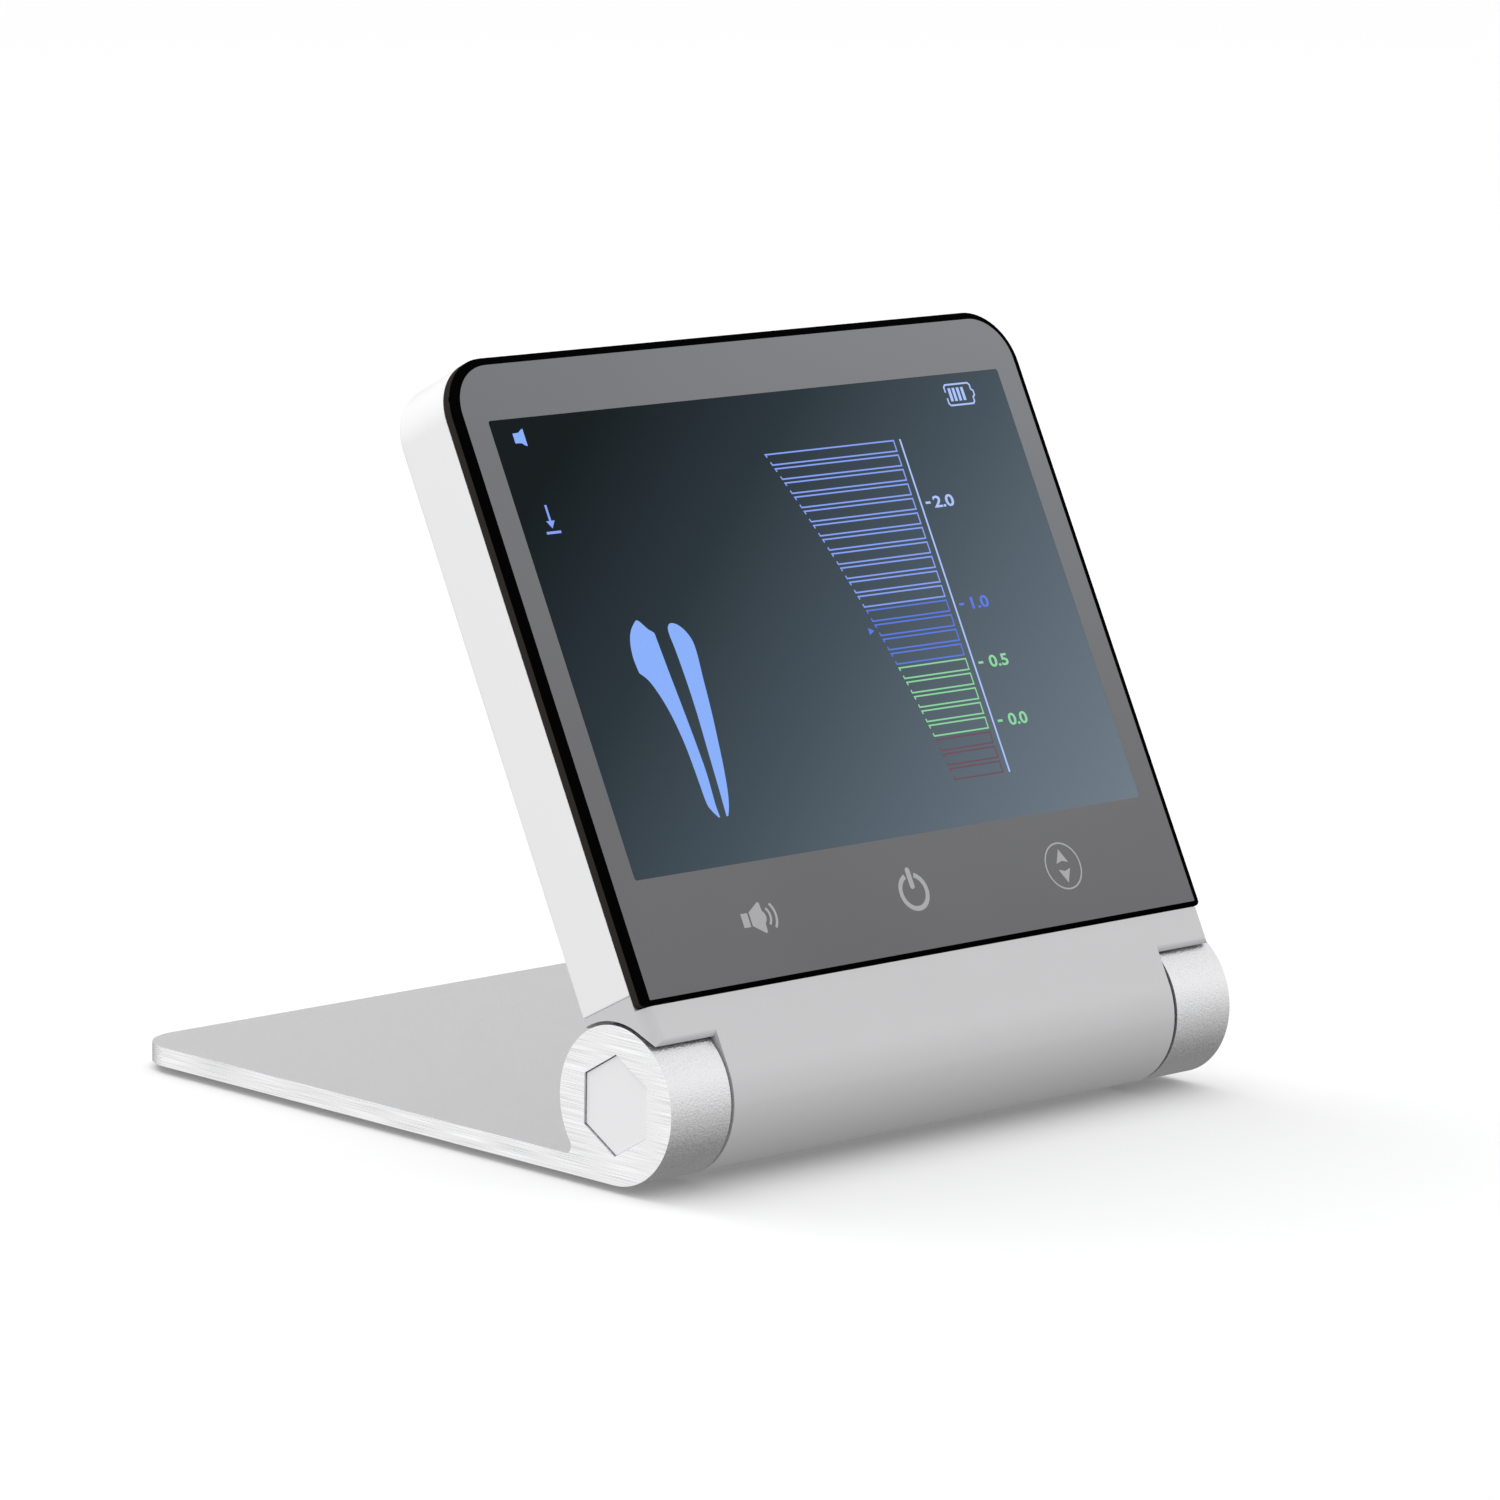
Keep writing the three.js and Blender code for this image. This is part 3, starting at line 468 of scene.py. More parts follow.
def make_stand(materials):
    """The materials are the plate's, then brushed, chamfered, blasted and brushed along x."""
    plate_top = PLATE_THICKNESS - RADIUS
    far = RADIUS + 3
    gap = KNUCKLE_IN - BARREL_END
    plate_edge = math.sqrt((RADIUS + gap) ** 2 - plate_top ** 2)
    stand = prism_x("stand_frame", stand_outline(), -STAND_HALF, STAND_HALF, TO_STAND)
    half = STAND_HALF + SLACK
    plan = rounded_rectangle(-half, half, -far, PLATE_REAR + SLACK, 1, PLATE_CORNER, 20)
    combine(stand, "INTERSECT", prism_z("plan", plan, -far, far, TO_STAND))
    plug_outline = hexagon(PLUG_RADIUS + PLUG_GAP)
    plug_holes = [prism_x("plug_hole", plug_outline, *span(sign, KNUCKLE_IN - 1, STAND_HALF + 1), TO_STAND)
                  for _, sign in SIDES]
    combine(
        stand, "DIFFERENCE",
        box("barrel_space", -KNUCKLE_IN, KNUCKLE_IN, -far, far, plate_top, far, TO_STAND),
        box("plate_notch", -KNUCKLE_IN, KNUCKLE_IN, -far, plate_edge, -far, far, TO_STAND),
        *plug_holes,
    )
    clean(stand)
    place(stand, "stand", "aluminium", materials, "base_frame")
    brushed, chamfered, blasted, brushed_rear = range(1, 5)
    side = STAND_HALF * MM - 0.0001
    paint(stand, brushed, lambda centre, normal: abs(normal.x) > 0.9 and abs(centre.x) > side)
    rear = HINGE_POINT.y + (PLATE_REAR - PLATE_CORNER) * MM
    paint(stand, brushed, lambda centre, normal: abs(normal.z) < 0.1 and centre.y > rear)
    paint(stand, brushed_rear, lambda centre, normal: normal.y > 0.8 and centre.y > rear)
    knuckle_end = HINGE_POINT.y + (RADIUS + 1) * MM
    paint(stand, blasted, lambda centre, normal: abs(normal.x) < 0.5 and centre.y < knuckle_end)
    break_edges(stand, EDGE_BREAK, 2, 40, material=chamfered)


def make_plug(side, sign, material):
    ends = span(sign, KNUCKLE_IN + 0.3, STAND_HALF - PLUG_INSET)
    plug = prism_x(f"plug_{side}", hexagon(PLUG_RADIUS), *ends, TO_STAND)
    place(plug, "stand", "plugPlastic", [material], f"hinge_plug_{side}")
    break_edges(plug, 0.12, 2)


def make_foot(node, material):
    """A turned rubber pad, rounded where it meets the table."""
    low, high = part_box(node)
    middle = (low + high) / 2
    edge = arc(FOOT_RADIUS - FOOT_ROUNDING, low.z / MM + FOOT_ROUNDING, FOOT_ROUNDING, 0, -90, 5)
    profile = [(FOOT_RADIUS, high.z / MM), *edge]
    rings = [[Vector((middle.x / MM + x, middle.y / MM + y, z)) for x, y in circle(0, 0, radius, 48)]
             for radius, z in profile]
    pad = lofted(node.replace("foot", "pad"), rings, Matrix.Scale(MM, 4))
    place(pad, "stand", "rubber", [material], node)
    shade(pad)


# ---- Casing and lower cover ---------------------------------------------------------------------------

def casing_ring(inset, n, raised=0.0):
    """The casing's outline at one depth. It is drawn in at the sides and top, and at the seam if raised."""
    half = UNIT_HALF - inset
    bottom = SEAM + SEAM_GAP + raised
    outline = rounded_rectangle(-half, half, bottom, UNIT_TOP - inset, 0.2, CORNER_TOP - inset, 20)
    return [unit_point(x, v, n) for x, v in outline]


def make_casing(material):
    rings = []
    for angle in range(0, 91, 15):
        turn = math.radians(angle)
        inset = BACK_ROUNDING * (1 - math.sin(turn))
        rings.append(casing_ring(inset, UNIT_BACK + BACK_ROUNDING * (1 - math.cos(turn))))
    rings.append(casing_ring(0, UNIT_RIM))
    rings.append(casing_ring(WALL, UNIT_RIM, WALL))
    rings.append(casing_ring(WALL, TRAY_FLOOR, WALL))
    casing = lofted("casing_back", rings, TO_UNIT)
    holes = []
    for _, v in SCREW_ROWS:
        for _, sign in SIDES:
            seat = circle(sign * SCREW_X, v, CASE_SCREW["head"] + SCREW_GAP, 40)
            shank = circle(sign * SCREW_X, v, CASE_SCREW["shank"] + SCREW_GAP, 24)
            holes.append(prism_n("seat", seat, UNIT_BACK - 1, UNIT_BACK + 1.0))
            holes.append(prism_n("shank", shank, UNIT_BACK, TRAY_FLOOR + 1))
    middle_x, middle_v = SPEAKER_PLACE
    pitch = SOUND_HOLE["pitch"]
    for row in (-0.5, 0.5):
        for column in range(-2, 3):
            hole = circle(middle_x + column * pitch, middle_v + row * pitch, SOUND_HOLE["radius"], 20)
            holes.append(prism_n("sound", hole, UNIT_BACK - 1, TRAY_FLOOR + 1))
    outer = (UNIT_HALF - WALL - 1, UNIT_HALF + 1)
    holes.append(prism_x("charge_slot", usb_outline(0.25), *outer, TO_UNIT))
    lead_hole = circle(-LEAD["n"], LEAD["v"], LEAD["collar"] + 0.2, 48)
    holes.append(prism_x("lead_hole", lead_hole, *outer, TO_UNIT))
    combine(casing, "DIFFERENCE", *holes)
    clean(casing)
    place(casing, "screen_unit", "whitePlastic", [material], "rear_shell")
    break_edges(casing, 0.1, 2, 34)


def usb_outline(grow):
    """The charging socket's outline seen from the side, grown or shrunk, its ends round."""
    thick = USB["thick"] + grow
    long = USB["long"] + grow
    corner = thick - 0.03
    return rounded_rectangle(-USB["n"] - thick, -USB["n"] + thick, USB["v"] - long, USB["v"] + long,
                             corner, corner, 10)


def make_charge_socket(materials):
    """A drawn metal shell with a tongue inside that carries the contacts."""
    mouth = USB["mouth"]
    sections = ((0, USB["inner"]), (0, mouth - 0.1), (-0.08, mouth), (-0.26, mouth), (-0.34, mouth - 0.1),
                (-0.34, USB["inner"] + 1))
    rings = [[Vector((x, y, z)) for y, z in usb_outline(grow)] for grow, x in sections]
    socket = lofted("charge_socket", rings, TO_UNIT)
    long, thick = TONGUE["long"], TONGUE["thick"]
    tongue_outline = rectangle(-USB["n"] - thick, -USB["n"] + thick, USB["v"] - long, USB["v"] + long)
    tongue = prism_x("tongue", tongue_outline, USB["inner"] + 0.5, mouth - 1, TO_UNIT)
    combine(socket, "UNION", tongue)
    place(socket, "screen_unit", "nickel", materials, "usb_socket")
    inside = TO_UNIT.inverted()
    tongue_end = USB["inner"] + 1.01

    def on_tongue(centre, normal):
        local = inside @ centre
        across, up = abs(local.y + USB["n"]), abs(local.z - USB["v"])
        return local.x > tongue_end and across < thick + 0.01 and up < long + 0.05

    paint(socket, 1, on_tongue)
    shade(socket)


def make_lead_socket(material):
    """The measuring lead's round socket: a collar with a bevelled mouth on a square body."""
    mouth, collar, hole = LEAD["mouth"], LEAD["collar"], LEAD["hole"]
    half, n, v, inner = LEAD["half"], LEAD["n"], LEAD["v"], LEAD["inner"]
    hole_end = inner + 1.5
    outside, inside = 0.15, 0.35        # the mouth's bevels
    sections = ((collar, inner + 8), (collar, mouth - outside), (collar - outside, mouth),
                (hole + inside, mouth), (hole, mouth - inside), (hole, hole_end))
    rings = [[Vector((x, y, z)) for y, z in circle(-n, v, radius, 48)] for radius, x in sections]
    socket = lofted("lead_collar", rings, TO_UNIT)
    body = box("body", inner, UNIT_HALF - WALL - 0.3, -n - half, -n + half, v - half, v + half, TO_UNIT)
    hollow = prism_x("hollow", circle(-n, v, hole + 0.01, 48), hole_end, UNIT_HALF, TO_UNIT)
    combine(body, "DIFFERENCE", hollow)
    combine(socket, "UNION", body)
    place(socket, "screen_unit", "blackPlastic", [material], "lead_socket")
    shade(socket)


def cross(x, v, reach, half):
    """A cross-shaped outline."""
    quarter = [(half, reach), (-half, reach), (-half, half)]
    turned = []
    for _ in range(4):
        turned += quarter
        quarter = [(-b, a) for a, b in quarter]
    return [(x + a, v + b) for a, b in turned]


def make_screw(node, x, v, size, material):
    """A cross-head screw set in from the back. Its sizes' top and end are the n of its head and its tip."""
    top, end, head, height, shank = (size[key] for key in ("top", "end", "head", "height", "shank"))
    sections = ((head - 0.3, top), (head - 0.1, top + 0.06), (head, top + 0.2), (head, top + height),
                (shank, top + height), (shank, end - 0.2), (shank - 0.2, end))
    rings = [[unit_point(a, b, n) for a, b in circle(x, v, radius, 40)] for radius, n in sections]
    screw = lofted(node.replace("screw", "fixing"), rings, TO_UNIT)
    # The slot's half width, its reach in a case screw and its n, from above the head to its floor.
    slot = [(0.27, 1.0, top - 0.5), (0.22, 0.8, top + 0.2), (0.08, 0.3, top + 0.65 * height)]
    slot_rings = [[unit_point(a, b, n) for a, b in cross(x, v, reach * head / CASE_SCREW["head"], half)]
                  for half, reach, n in slot]
    combine(screw, "DIFFERENCE", lofted("slot", slot_rings, TO_UNIT))
    place(screw, "screen_unit", "steel", [material], node)
    shade(screw)


def make_screws(material):
    for side, sign in SIDES:
        for row, v in SCREW_ROWS:
            make_screw(f"case_screw_{row}_{side}", sign * SCREW_X, v, CASE_SCREW, material)
        make_screw(f"block_screw_{side}", sign * BLOCK_SCREW_X, 0, BLOCK_SCREW, material)


def cover_top():
    """The points above the barrel: up the front, under the lens and along the joint with the casing."""
    step = UNIT_RIM
    seam = SEAM - SEAM_GAP
    return [(-COVER_FACE, COVER_TOP), (-step, COVER_TOP), (-step, seam), (-UNIT_BACK, seam)]


def barrel_outline():
    rear = math.degrees(math.acos(-UNIT_BACK / RADIUS))
    return [*cover_top(), *arc(0, 0, RADIUS, rear, -180, 110)]


def knuckle_space():
    """The side outline that is cut away at each end of the cover, with a rounded lip at the hood's front."""
    lip = Vector((-COVER_FACE + HOOD_ROUNDING - 0.004, HOOD_BOTTOM + HOOD_ROUNDING))
    reach = (HOOD_RADIUS ** 2 - lip.length_squared - HOOD_ROUNDING ** 2) / (2 * HOOD_ROUNDING * lip.length)
    turn = math.degrees(math.atan2(lip.y, lip.x) + math.acos(reach))
    edge = arc(*lip, HOOD_ROUNDING, 180, turn, 12)
    front = math.degrees(math.atan2(edge[-1][1], edge[-1][0]))
    beyond = RADIUS + 4
    hollow = arc(0, 0, HOOD_RADIUS, front, 0, 72)[1:]
    return [(-beyond, -beyond), (-beyond, lip.y), *edge, *hollow, (beyond, -beyond)]


def cover_plan():
    """The cover from above: rounded at its front corners and at the hoods' back edges."""
    front = -COVER_FACE + SIDE_ROUNDING
    side = UNIT_HALF - SIDE_ROUNDING
    rear = -UNIT_BACK - BACK_ROUNDING
    rear_side = UNIT_HALF - BACK_ROUNDING
    step = BARREL_END + 0.2
    half = (arc(side, front, SIDE_ROUNDING, -90, 0, 14) + arc(rear_side, rear, BACK_ROUNDING, 0, 90, 10)
            + [(step, -UNIT_BACK), (step, RADIUS + 2)])
    return half + [(-x, y) for x, y in reversed(half)]


def at_barrel_end(point):
    """True on the round edge at each end of the barrel, where it turns against a knuckle."""
    local = TO_UNIT.inverted() @ point
    return abs(abs(local.x) - BARREL_END) < 0.01 and abs(math.hypot(local.y, local.z) - RADIUS) < 0.02


def make_cover(material):
    cover = prism_x("cover", barrel_outline(), -UNIT_HALF, UNIT_HALF, TO_UNIT)
    combine(cover, "INTERSECT", prism_z("plan", cover_plan(), -RADIUS - 2, SEAM + 2, TO_UNIT))
    bore = circle(0, 0, BARREL_BORE, 64)
    holes = [prism_x("bore", bore, -BARREL_END + 1, BARREL_END - 1, TO_UNIT)]
    for _, sign in SIDES:
        knuckle_ends = span(sign, BARREL_END, UNIT_HALF + 1)
        bore_ends = span(sign, BARREL_END - 1.5, BARREL_END + 1)
        holes.append(prism_x("knuckle_space", knuckle_space(), *knuckle_ends, TO_UNIT))
        holes.append(prism_x("end_bore", bore, *bore_ends, TO_UNIT))
        seat = circle(sign * BLOCK_SCREW_X, 0, BLOCK_SCREW["head"] + SCREW_GAP, 40)
        holes.append(prism_n("screw_seat", seat, -RADIUS - 1, -9.25))
    combine(cover, "DIFFERENCE", *holes)
    clean(cover)
    place(cover, "screen_unit", "coverPlastic", [material], "lower_cover")
    weigh_edges(cover, 28, 0.3, at_barrel_end)
    break_edges(cover, 0.4, 3, 28, limit="WEIGHT")


# ---- Lens ---------------------------------------------------------------------------------------------

def lens_ring(inset, n):
    """The lens's outline drawn in by the inset at its sides, and by less at its top and bottom."""
    half = LENS_HALF - inset
    low = LENS_BOTTOM + inset * BEVEL_LOW_SHARE
    high = UNIT_TOP - inset * BEVEL_TOP_SHARE
    corner = max(CORNER_BOTTOM - inset, 0.12)
    outline = rounded_rectangle(-half, half, low, high, corner, CORNER_TOP - inset, 16)
    return [unit_point(x, v, n) for x, v in outline]


def make_lens(materials):
    """The glass's dark edge with its wide bevel, and the border inside it, level with its face, grey with a
    painted reflection.
    """
    sections = [(0, LENS_BACK), (0, LENS_SIDE - 0.1), (0.03, LENS_SIDE), (0.1, LENS_SIDE + 0.07),
                (LENS_BEVEL - 0.08, LENS_FACE - 0.03), (LENS_BEVEL, LENS_FACE), (LENS_BEVEL, LENS_BACK)]
    edge = lofted("lens_edge", [lens_ring(*section) for section in sections], TO_UNIT, closed=True)
    place(edge, "screen_unit", "glass", [materials["lens_edge"], materials["lens_side"]], "lens")
    paint(edge, 1, lambda centre, normal: -(TO_UNIT.inverted() @ centre).y < LENS_SIDE - 0.05)
    shade(edge, 25)

    inner = LENS_BEVEL + 0.005
    border = lofted("lens_border", [lens_ring(inner, LENS_BACK), lens_ring(inner, LENS_FACE)], TO_UNIT)
    window = prism_n("window", rounded_rectangle(*WINDOW, 0.4, 0.4, 6), LENS_BACK - 1, LENS_FACE + 1)
    combine(border, "DIFFERENCE", window)
    place(border, "screen_unit", "glass", [materials["lens_border"]], "lens")


# ---- Display pictures ---------------------------------------------------------------------------------

INK = (LENS_FACE + 0.004, LENS_FACE + 0.014)     # n limits of the lit shapes and the touch icons

BARS = 23
BAR_PITCH = 2.023
BAR_HEIGHT = 1.47
BAR_TOP = 77.3
BAR_RIGHT = 22.25
BAR_LINE = 0.2
BAR_LEFT = -1.0            # x of the top bar's left end
BAR_SLOPE = 0.4624         # how the left ends move in going down, and how that falls off
BAR_BEND = 0.003237
SCALE_X = 23.45            # the upright line beside the bars


def shape_group(name, shapes, material, slot="screen"):
    """One piece of flat inked shapes. Each shape is a list of (x, v) points, closed."""
    bm = bmesh.new()
    for outline in shapes:
        add_loft(bm, [[unit_point(x, v, n) for x, v in outline] for n in INK])
    place(make_object(name, bm, TO_UNIT), "screen_unit", slot, [material])


def stroke(path, width, closed=False):
    """The quadrilaterals of a line of that width along a path, mitred where they meet."""
    count = len(path)
    sides = []
    for i, point in enumerate(path):
        here = Vector(point)
        before = Vector(path[i - 1]) if closed or i else None
        after = Vector(path[(i + 1) % count]) if closed or i < count - 1 else None
        ahead = (after - here).normalized() if after else (here - before).normalized()
        behind = (here - before).normalized() if before else ahead
        normal = Vector((-(ahead + behind).y, (ahead + behind).x)).normalized()
        reach = width / 2 / max(0.3, normal.dot(Vector((-ahead.y, ahead.x))))
        sides.append((here + normal * reach, here - normal * reach))
    pairs = list(zip(sides, sides[1:])) + ([(sides[-1], sides[0])] if closed else [])
    return [[tuple(a[0]), tuple(a[1]), tuple(b[1]), tuple(b[0])] for a, b in pairs]


def bar_left(v):
    """The bars' left ends lie on a curve that steepens downwards."""
    down = BAR_TOP - v
    return BAR_LEFT + BAR_SLOPE * down - BAR_BEND * down ** 2


def bar(index):
    """One bar's outline, open in the middle of its left end."""
    top = BAR_TOP - index * BAR_PITCH
    bottom = top - BAR_HEIGHT
    tick = 0.4
    path = [(bar_left(top - tick), top - tick), (bar_left(top), top), (BAR_RIGHT, top), (BAR_RIGHT, bottom),
            (bar_left(bottom), bottom), (bar_left(bottom + tick), bottom + tick)]
    return stroke(path, BAR_LINE)


def number(name, text, x, v, width, height, material):
    """Upright figures with their left end at x and their middle at v."""
    curve = bpy.data.curves.new(name, "FONT")
    curve.body = text
    curve.offset = 0.022
    obj = bpy.data.objects.new(name, curve)
    bpy.context.scene.collection.objects.link(obj)
    bpy.context.view_layer.update()
    mesh = bpy.data.meshes.new_from_object(obj.evaluated_get(bpy.context.evaluated_depsgraph_get()))
    bpy.data.objects.remove(obj)
    bm = bmesh.new()
    bm.from_mesh(mesh)
    bmesh.ops.remove_doubles(bm, verts=bm.verts, dist=0.0001)
    low = Vector([min(vert.co[i] for vert in bm.verts) for i in range(3)])
    high = Vector([max(vert.co[i] for vert in bm.verts) for i in range(3)])
    across = width / (high.x - low.x)
    up = height / (high.y - low.y)
    for vert in bm.verts:
        figure_x = x + (vert.co.x - low.x) * across
        figure_v = v + (vert.co.y - low.y) * up - height / 2
        vert.co = unit_point(figure_x, figure_v, INK[0])
    lifted = bmesh.ops.extrude_face_region(bm, geom=bm.faces[:])
    for item in lifted["geom"]:
        if isinstance(item, bmesh.types.BMVert):
            item.co.y -= INK[1] - INK[0]
    piece = make_object(name, bm, TO_UNIT)
    place(piece, "screen_unit", "screen", [material])


def canal_shapes():
    """The root canal pictogram: a pointed left lobe and a rounded right lobe that taper downwards."""
    left = (
        smooth([(-33.9, 51.0), (-34.1, 53.0), (-33.8, 55.0), (-33.1, 56.5), (-32.0, 57.6), (-31.55, 57.8)])
        + smooth([(-31.55, 57.8), (-31.1, 57.5), (-30.2, 56.5), (-29.4, 55.9), (-29.3, 55.3)])
        + smooth([(-29.3, 55.3), (-29.0, 50.5), (-28.7, 46.5), (-28.35, 41.0), (-28.2, 37.0), (-28.4, 33.0),
                  (-28.3, 31.3)])
        + smooth([(-28.55, 31.3), (-29.4, 32.4), (-29.8, 33.5), (-29.95, 37.0), (-30.2, 41.0),
                  (-30.75, 44.5), (-31.5, 47.2), (-32.4, 49.3), (-33.1, 50.3), (-33.9, 51.0)]))
    right = smooth([
        (-27.2, 31.3), (-27.0, 35.0), (-26.8, 40.0), (-26.6, 45.0), (-26.6, 49.0), (-26.75, 53.0),
        (-26.95, 55.4), (-26.8, 56.4), (-26.2, 56.85), (-25.2, 56.6), (-24.2, 55.7), (-23.5, 54.3),
        (-23.4, 52.5), (-23.7, 49.5), (-24.1, 45.0), (-24.6, 41.0), (-25.1, 37.5), (-25.7, 34.4),
        (-26.3, 32.5), (-26.9, 31.3)])
    return [tidy_outline(left), tidy_outline(right)]


def tidy_outline(points):
    """The outline without the repeated points where its stretches meet, running anticlockwise."""
    kept = [p for i, p in enumerate(points) if math.dist(p, points[i - 1]) > 0.01]
    area = sum(a[0] * b[1] - b[0] * a[1] for a, b in zip(kept, kept[1:] + kept[:1]))
    return kept if area > 0 else kept[::-1]


def battery_shapes():
    outline = [(34.45, 83.05), (34.45, 83.8), (34.75, 84.1), (38.95, 84.1), (39.25, 83.8), (39.25, 83.2),
               (39.6, 82.95), (39.6, 82.35), (39.25, 82.1), (39.25, 81.5), (38.95, 81.2), (34.75, 81.2),
               (34.45, 81.5), (34.45, 82.25)]
    cells = [rectangle(x, x + 0.48, 81.75, 83.6) for x in (35.02, 35.78, 36.58, 37.38)]
    return stroke(outline, 0.24) + cells


def small_speaker():
    return [(-42.0, 82.35), (-41.0, 82.3), (-40.4, 81.9), (-40.15, 81.85), (-40.15, 84.15), (-40.4, 84.1),
            (-41.0, 83.7), (-42.0, 83.65)]


def mode_glyph():
    """A plain length symbol: a line with an arrow down to a base line."""
    shaft = stroke([(-40.4, 74.0), (-40.4, 71.6)], 0.34)
    head = [(-41.1, 71.9), (-40.4, 70.9), (-39.7, 71.9)]
    base = stroke([(-41.6, 70.35), (-39.2, 70.35)], 0.34)
    return [*shaft, head, *base]


def make_display(materials):
    x0, x1, v0, v1 = WINDOW
    inset = 0.02
    outline = rounded_rectangle(x0 + inset, x1 - inset, v0 + inset, v1 - inset, 0.4, 0.4, 6)
    picture = prism_n("display_picture", outline, LENS_BACK, LENS_FACE)
    place(picture, "screen_unit", "screen", [materials["picture"]])

    groups = (("light", range(0, 11)), ("deep", range(11, 15)), ("green", range(15, 20)),
              ("red", range(20, BARS)))
    for colour, indices in groups:
        quads = [quad for index in indices for quad in bar(index)]
        shape_group(f"bars_{colour}", quads, materials[colour])
    scale_line = [(SCALE_X, BAR_TOP + 0.1), (SCALE_X, BAR_TOP - 46.1)]
    shape_group("scale_line", stroke(scale_line, 0.28), materials["pale"])
    shape_group("canal_picture", canal_shapes(), materials["canal"])
    shape_group("speaker_sign", [tidy_outline(small_speaker())], materials["canal"])
    shape_group("battery_sign", battery_shapes(), materials["pale"])
    shape_group("mode_sign", mode_glyph(), materials["light"])
    shape_group("pointer", [[(6.9, 51.8), (7.85, 52.3), (6.9, 52.8)]], materials["deep"])

    marks = (("2.0", 68.4, 25.75, 3.75, "pale"), ("1.0", 54.25, 26.5, 3.2, "deep"),
             ("0.5", 46.15, 26.3, 3.45, "green"), ("0.0", 38.1, 26.3, 3.45, "green"))
    for text, v, x, width, colour in marks:
        tick = rectangle(24.3, 25.2, v - 0.16, v + 0.16)
        label = text.replace(".", "_")
        shape_group(f"tick_{label}", [tick], materials[colour])
        number(f"figure_{label}", text, x, v, width, 1.65, materials[colour])


def disc_arc(cx, cy, radius, start, end, width):
    steps = max(8, int(abs(end - start) / 6))
    return stroke(arc(cx, cy, radius, start, end, steps), width)


def rounded_bar(x, v0, v1, width):
    radius = width / 2
    return arc(x, v1 - radius, radius, 0, 180, 10) + arc(x, v0 + radius, radius, 180, 360, 10)


def make_keys(material):
    """The three touch icons inked below the display."""
    centre_v = 17.85
    cone = [(-28.7, 17.0), (-26.85, 15.85), (-26.55, 15.9), (-26.45, 17.1), (-26.15, 17.4), (-26.0, 17.9),
            (-26.15, 18.4), (-26.45, 18.7), (-26.55, 19.8), (-26.85, 19.9), (-28.7, 18.8)]
    sound = [rectangle(-30.15, -29.0, 16.92, 18.75), cone]
    sound += disc_arc(-26.75, 17.9, 1.45, -47, 47, 0.36) + disc_arc(-26.75, 17.9, 2.4, -41, 41, 0.38)
    shape_group("key_sound", sound, material, "glass")

    gap = 20
    open_ring = disc_arc(0, centre_v - 0.05, 2.25, 90 + gap, 450 - gap, 0.66)
    shape_group("key_power", open_ring + [rounded_bar(0, 18.15, 21.05, 0.8)], material, "glass")

    ring = stroke(arc(27.42, 17.75, 3.1, 0, 354, 59), 0.22, closed=True)
    up = [(26.35, 18.15), (27.42, 18.45), (28.5, 18.15), (27.42, 20.05)]
    down = [(26.35, 17.35), (27.42, 15.45), (28.5, 17.35), (27.42, 17.05)]
    shape_group("key_arrows", [*ring, up, down], material, "glass")


# ---- Everything ---------------------------------------------------------------------------------------

def finish_cad_nodes(materials):
    """Every CAD node gets a worked surface by its material slot, though some are stood for later."""
    slots = {part["node"]: part["material_slot"] for part in frame["record"]["subparts"]}
    for name, node in frame["nodes"].items():
        node.data.materials.clear()
        node.data.materials.append(materials[slots[name]])
        shade(node)


def make_slot_materials():
    return {
        "aluminium": metal("anodised", (0.765, 0.765, 0.775), 0.38, EVEN, 4200, 0.00002,
                           strength=0.5, contrast=0.08),
        "whitePlastic": plastic("white_plastic", (0.855, 0.855, 0.865), 0.34),
        # The cover is the same white plastic as the casing; its darker colour is painted shade.
        "coverPlastic": plastic("cover_plastic_painted_shade", (0.592, 0.592, 0.602), 0.40),
        "plugPlastic": plastic("plug_plastic", (0.85, 0.85, 0.862), 0.45),
        "glass": plastic("glass_core", (0.02, 0.02, 0.022), 0.1),
        "screen": plastic("panel", (0.03, 0.035, 0.04), 0.25),
        "diffuser": plastic("diffuser", (0.85, 0.86, 0.88), 0.6),
        "blackPlastic": plastic("black_plastic", (0.012, 0.012, 0.013), 0.5, 0.2, 3000),
        "film": plastic("film", (0.16, 0.07, 0.02), 0.35),
        "board": plastic("board", (0.012, 0.10, 0.045), 0.45),
        "chip": plastic("chip", (0.015, 0.015, 0.016), 0.5),
        "steel": metal("steel", (0.55, 0.56, 0.58), 0.28, EVEN, 2600, 0.00001),
        "springSteel": metal("spring_steel", (0.35, 0.36, 0.38), 0.32, EVEN, 2600, 0.00001),
        "brass": metal("brass", (0.62, 0.45, 0.16), 0.3, EVEN, 2600, 0.00001),
        "nickel": metal("nickel", (0.60, 0.58, 0.54), 0.26, EVEN, 2600, 0.00001),
        "cellWrap": plastic("cell_wrap", (0.04, 0.18, 0.48), 0.3),
        "rubber": plastic("rubber", (0.02, 0.02, 0.02), 0.8, 0.3, 2500),
        "redWire": plastic("red_wire", (0.42, 0.02, 0.015), 0.45),
        "blackWire": plastic("black_wire", (0.012, 0.012, 0.012), 0.45),
        "tape": plastic("tape", (0.02, 0.02, 0.02), 0.7),
    }


def make_display_materials():
    return {
        "picture": picture_material(),
        "light": glow("lit_light_blue", (0.24, 0.36, 0.93)),
        "deep": glow("lit_deep_blue", (0.10, 0.19, 0.76)),
        "green": glow("lit_green", (0.26, 0.68, 0.35)),
        "red": glow("lit_red", (0.155, 0.072, 0.095)),
        "pale": glow("lit_pale_blue", (0.42, 0.55, 0.97)),
        "canal": glow("lit_canal", (0.25, 0.43, 0.96)),
    }


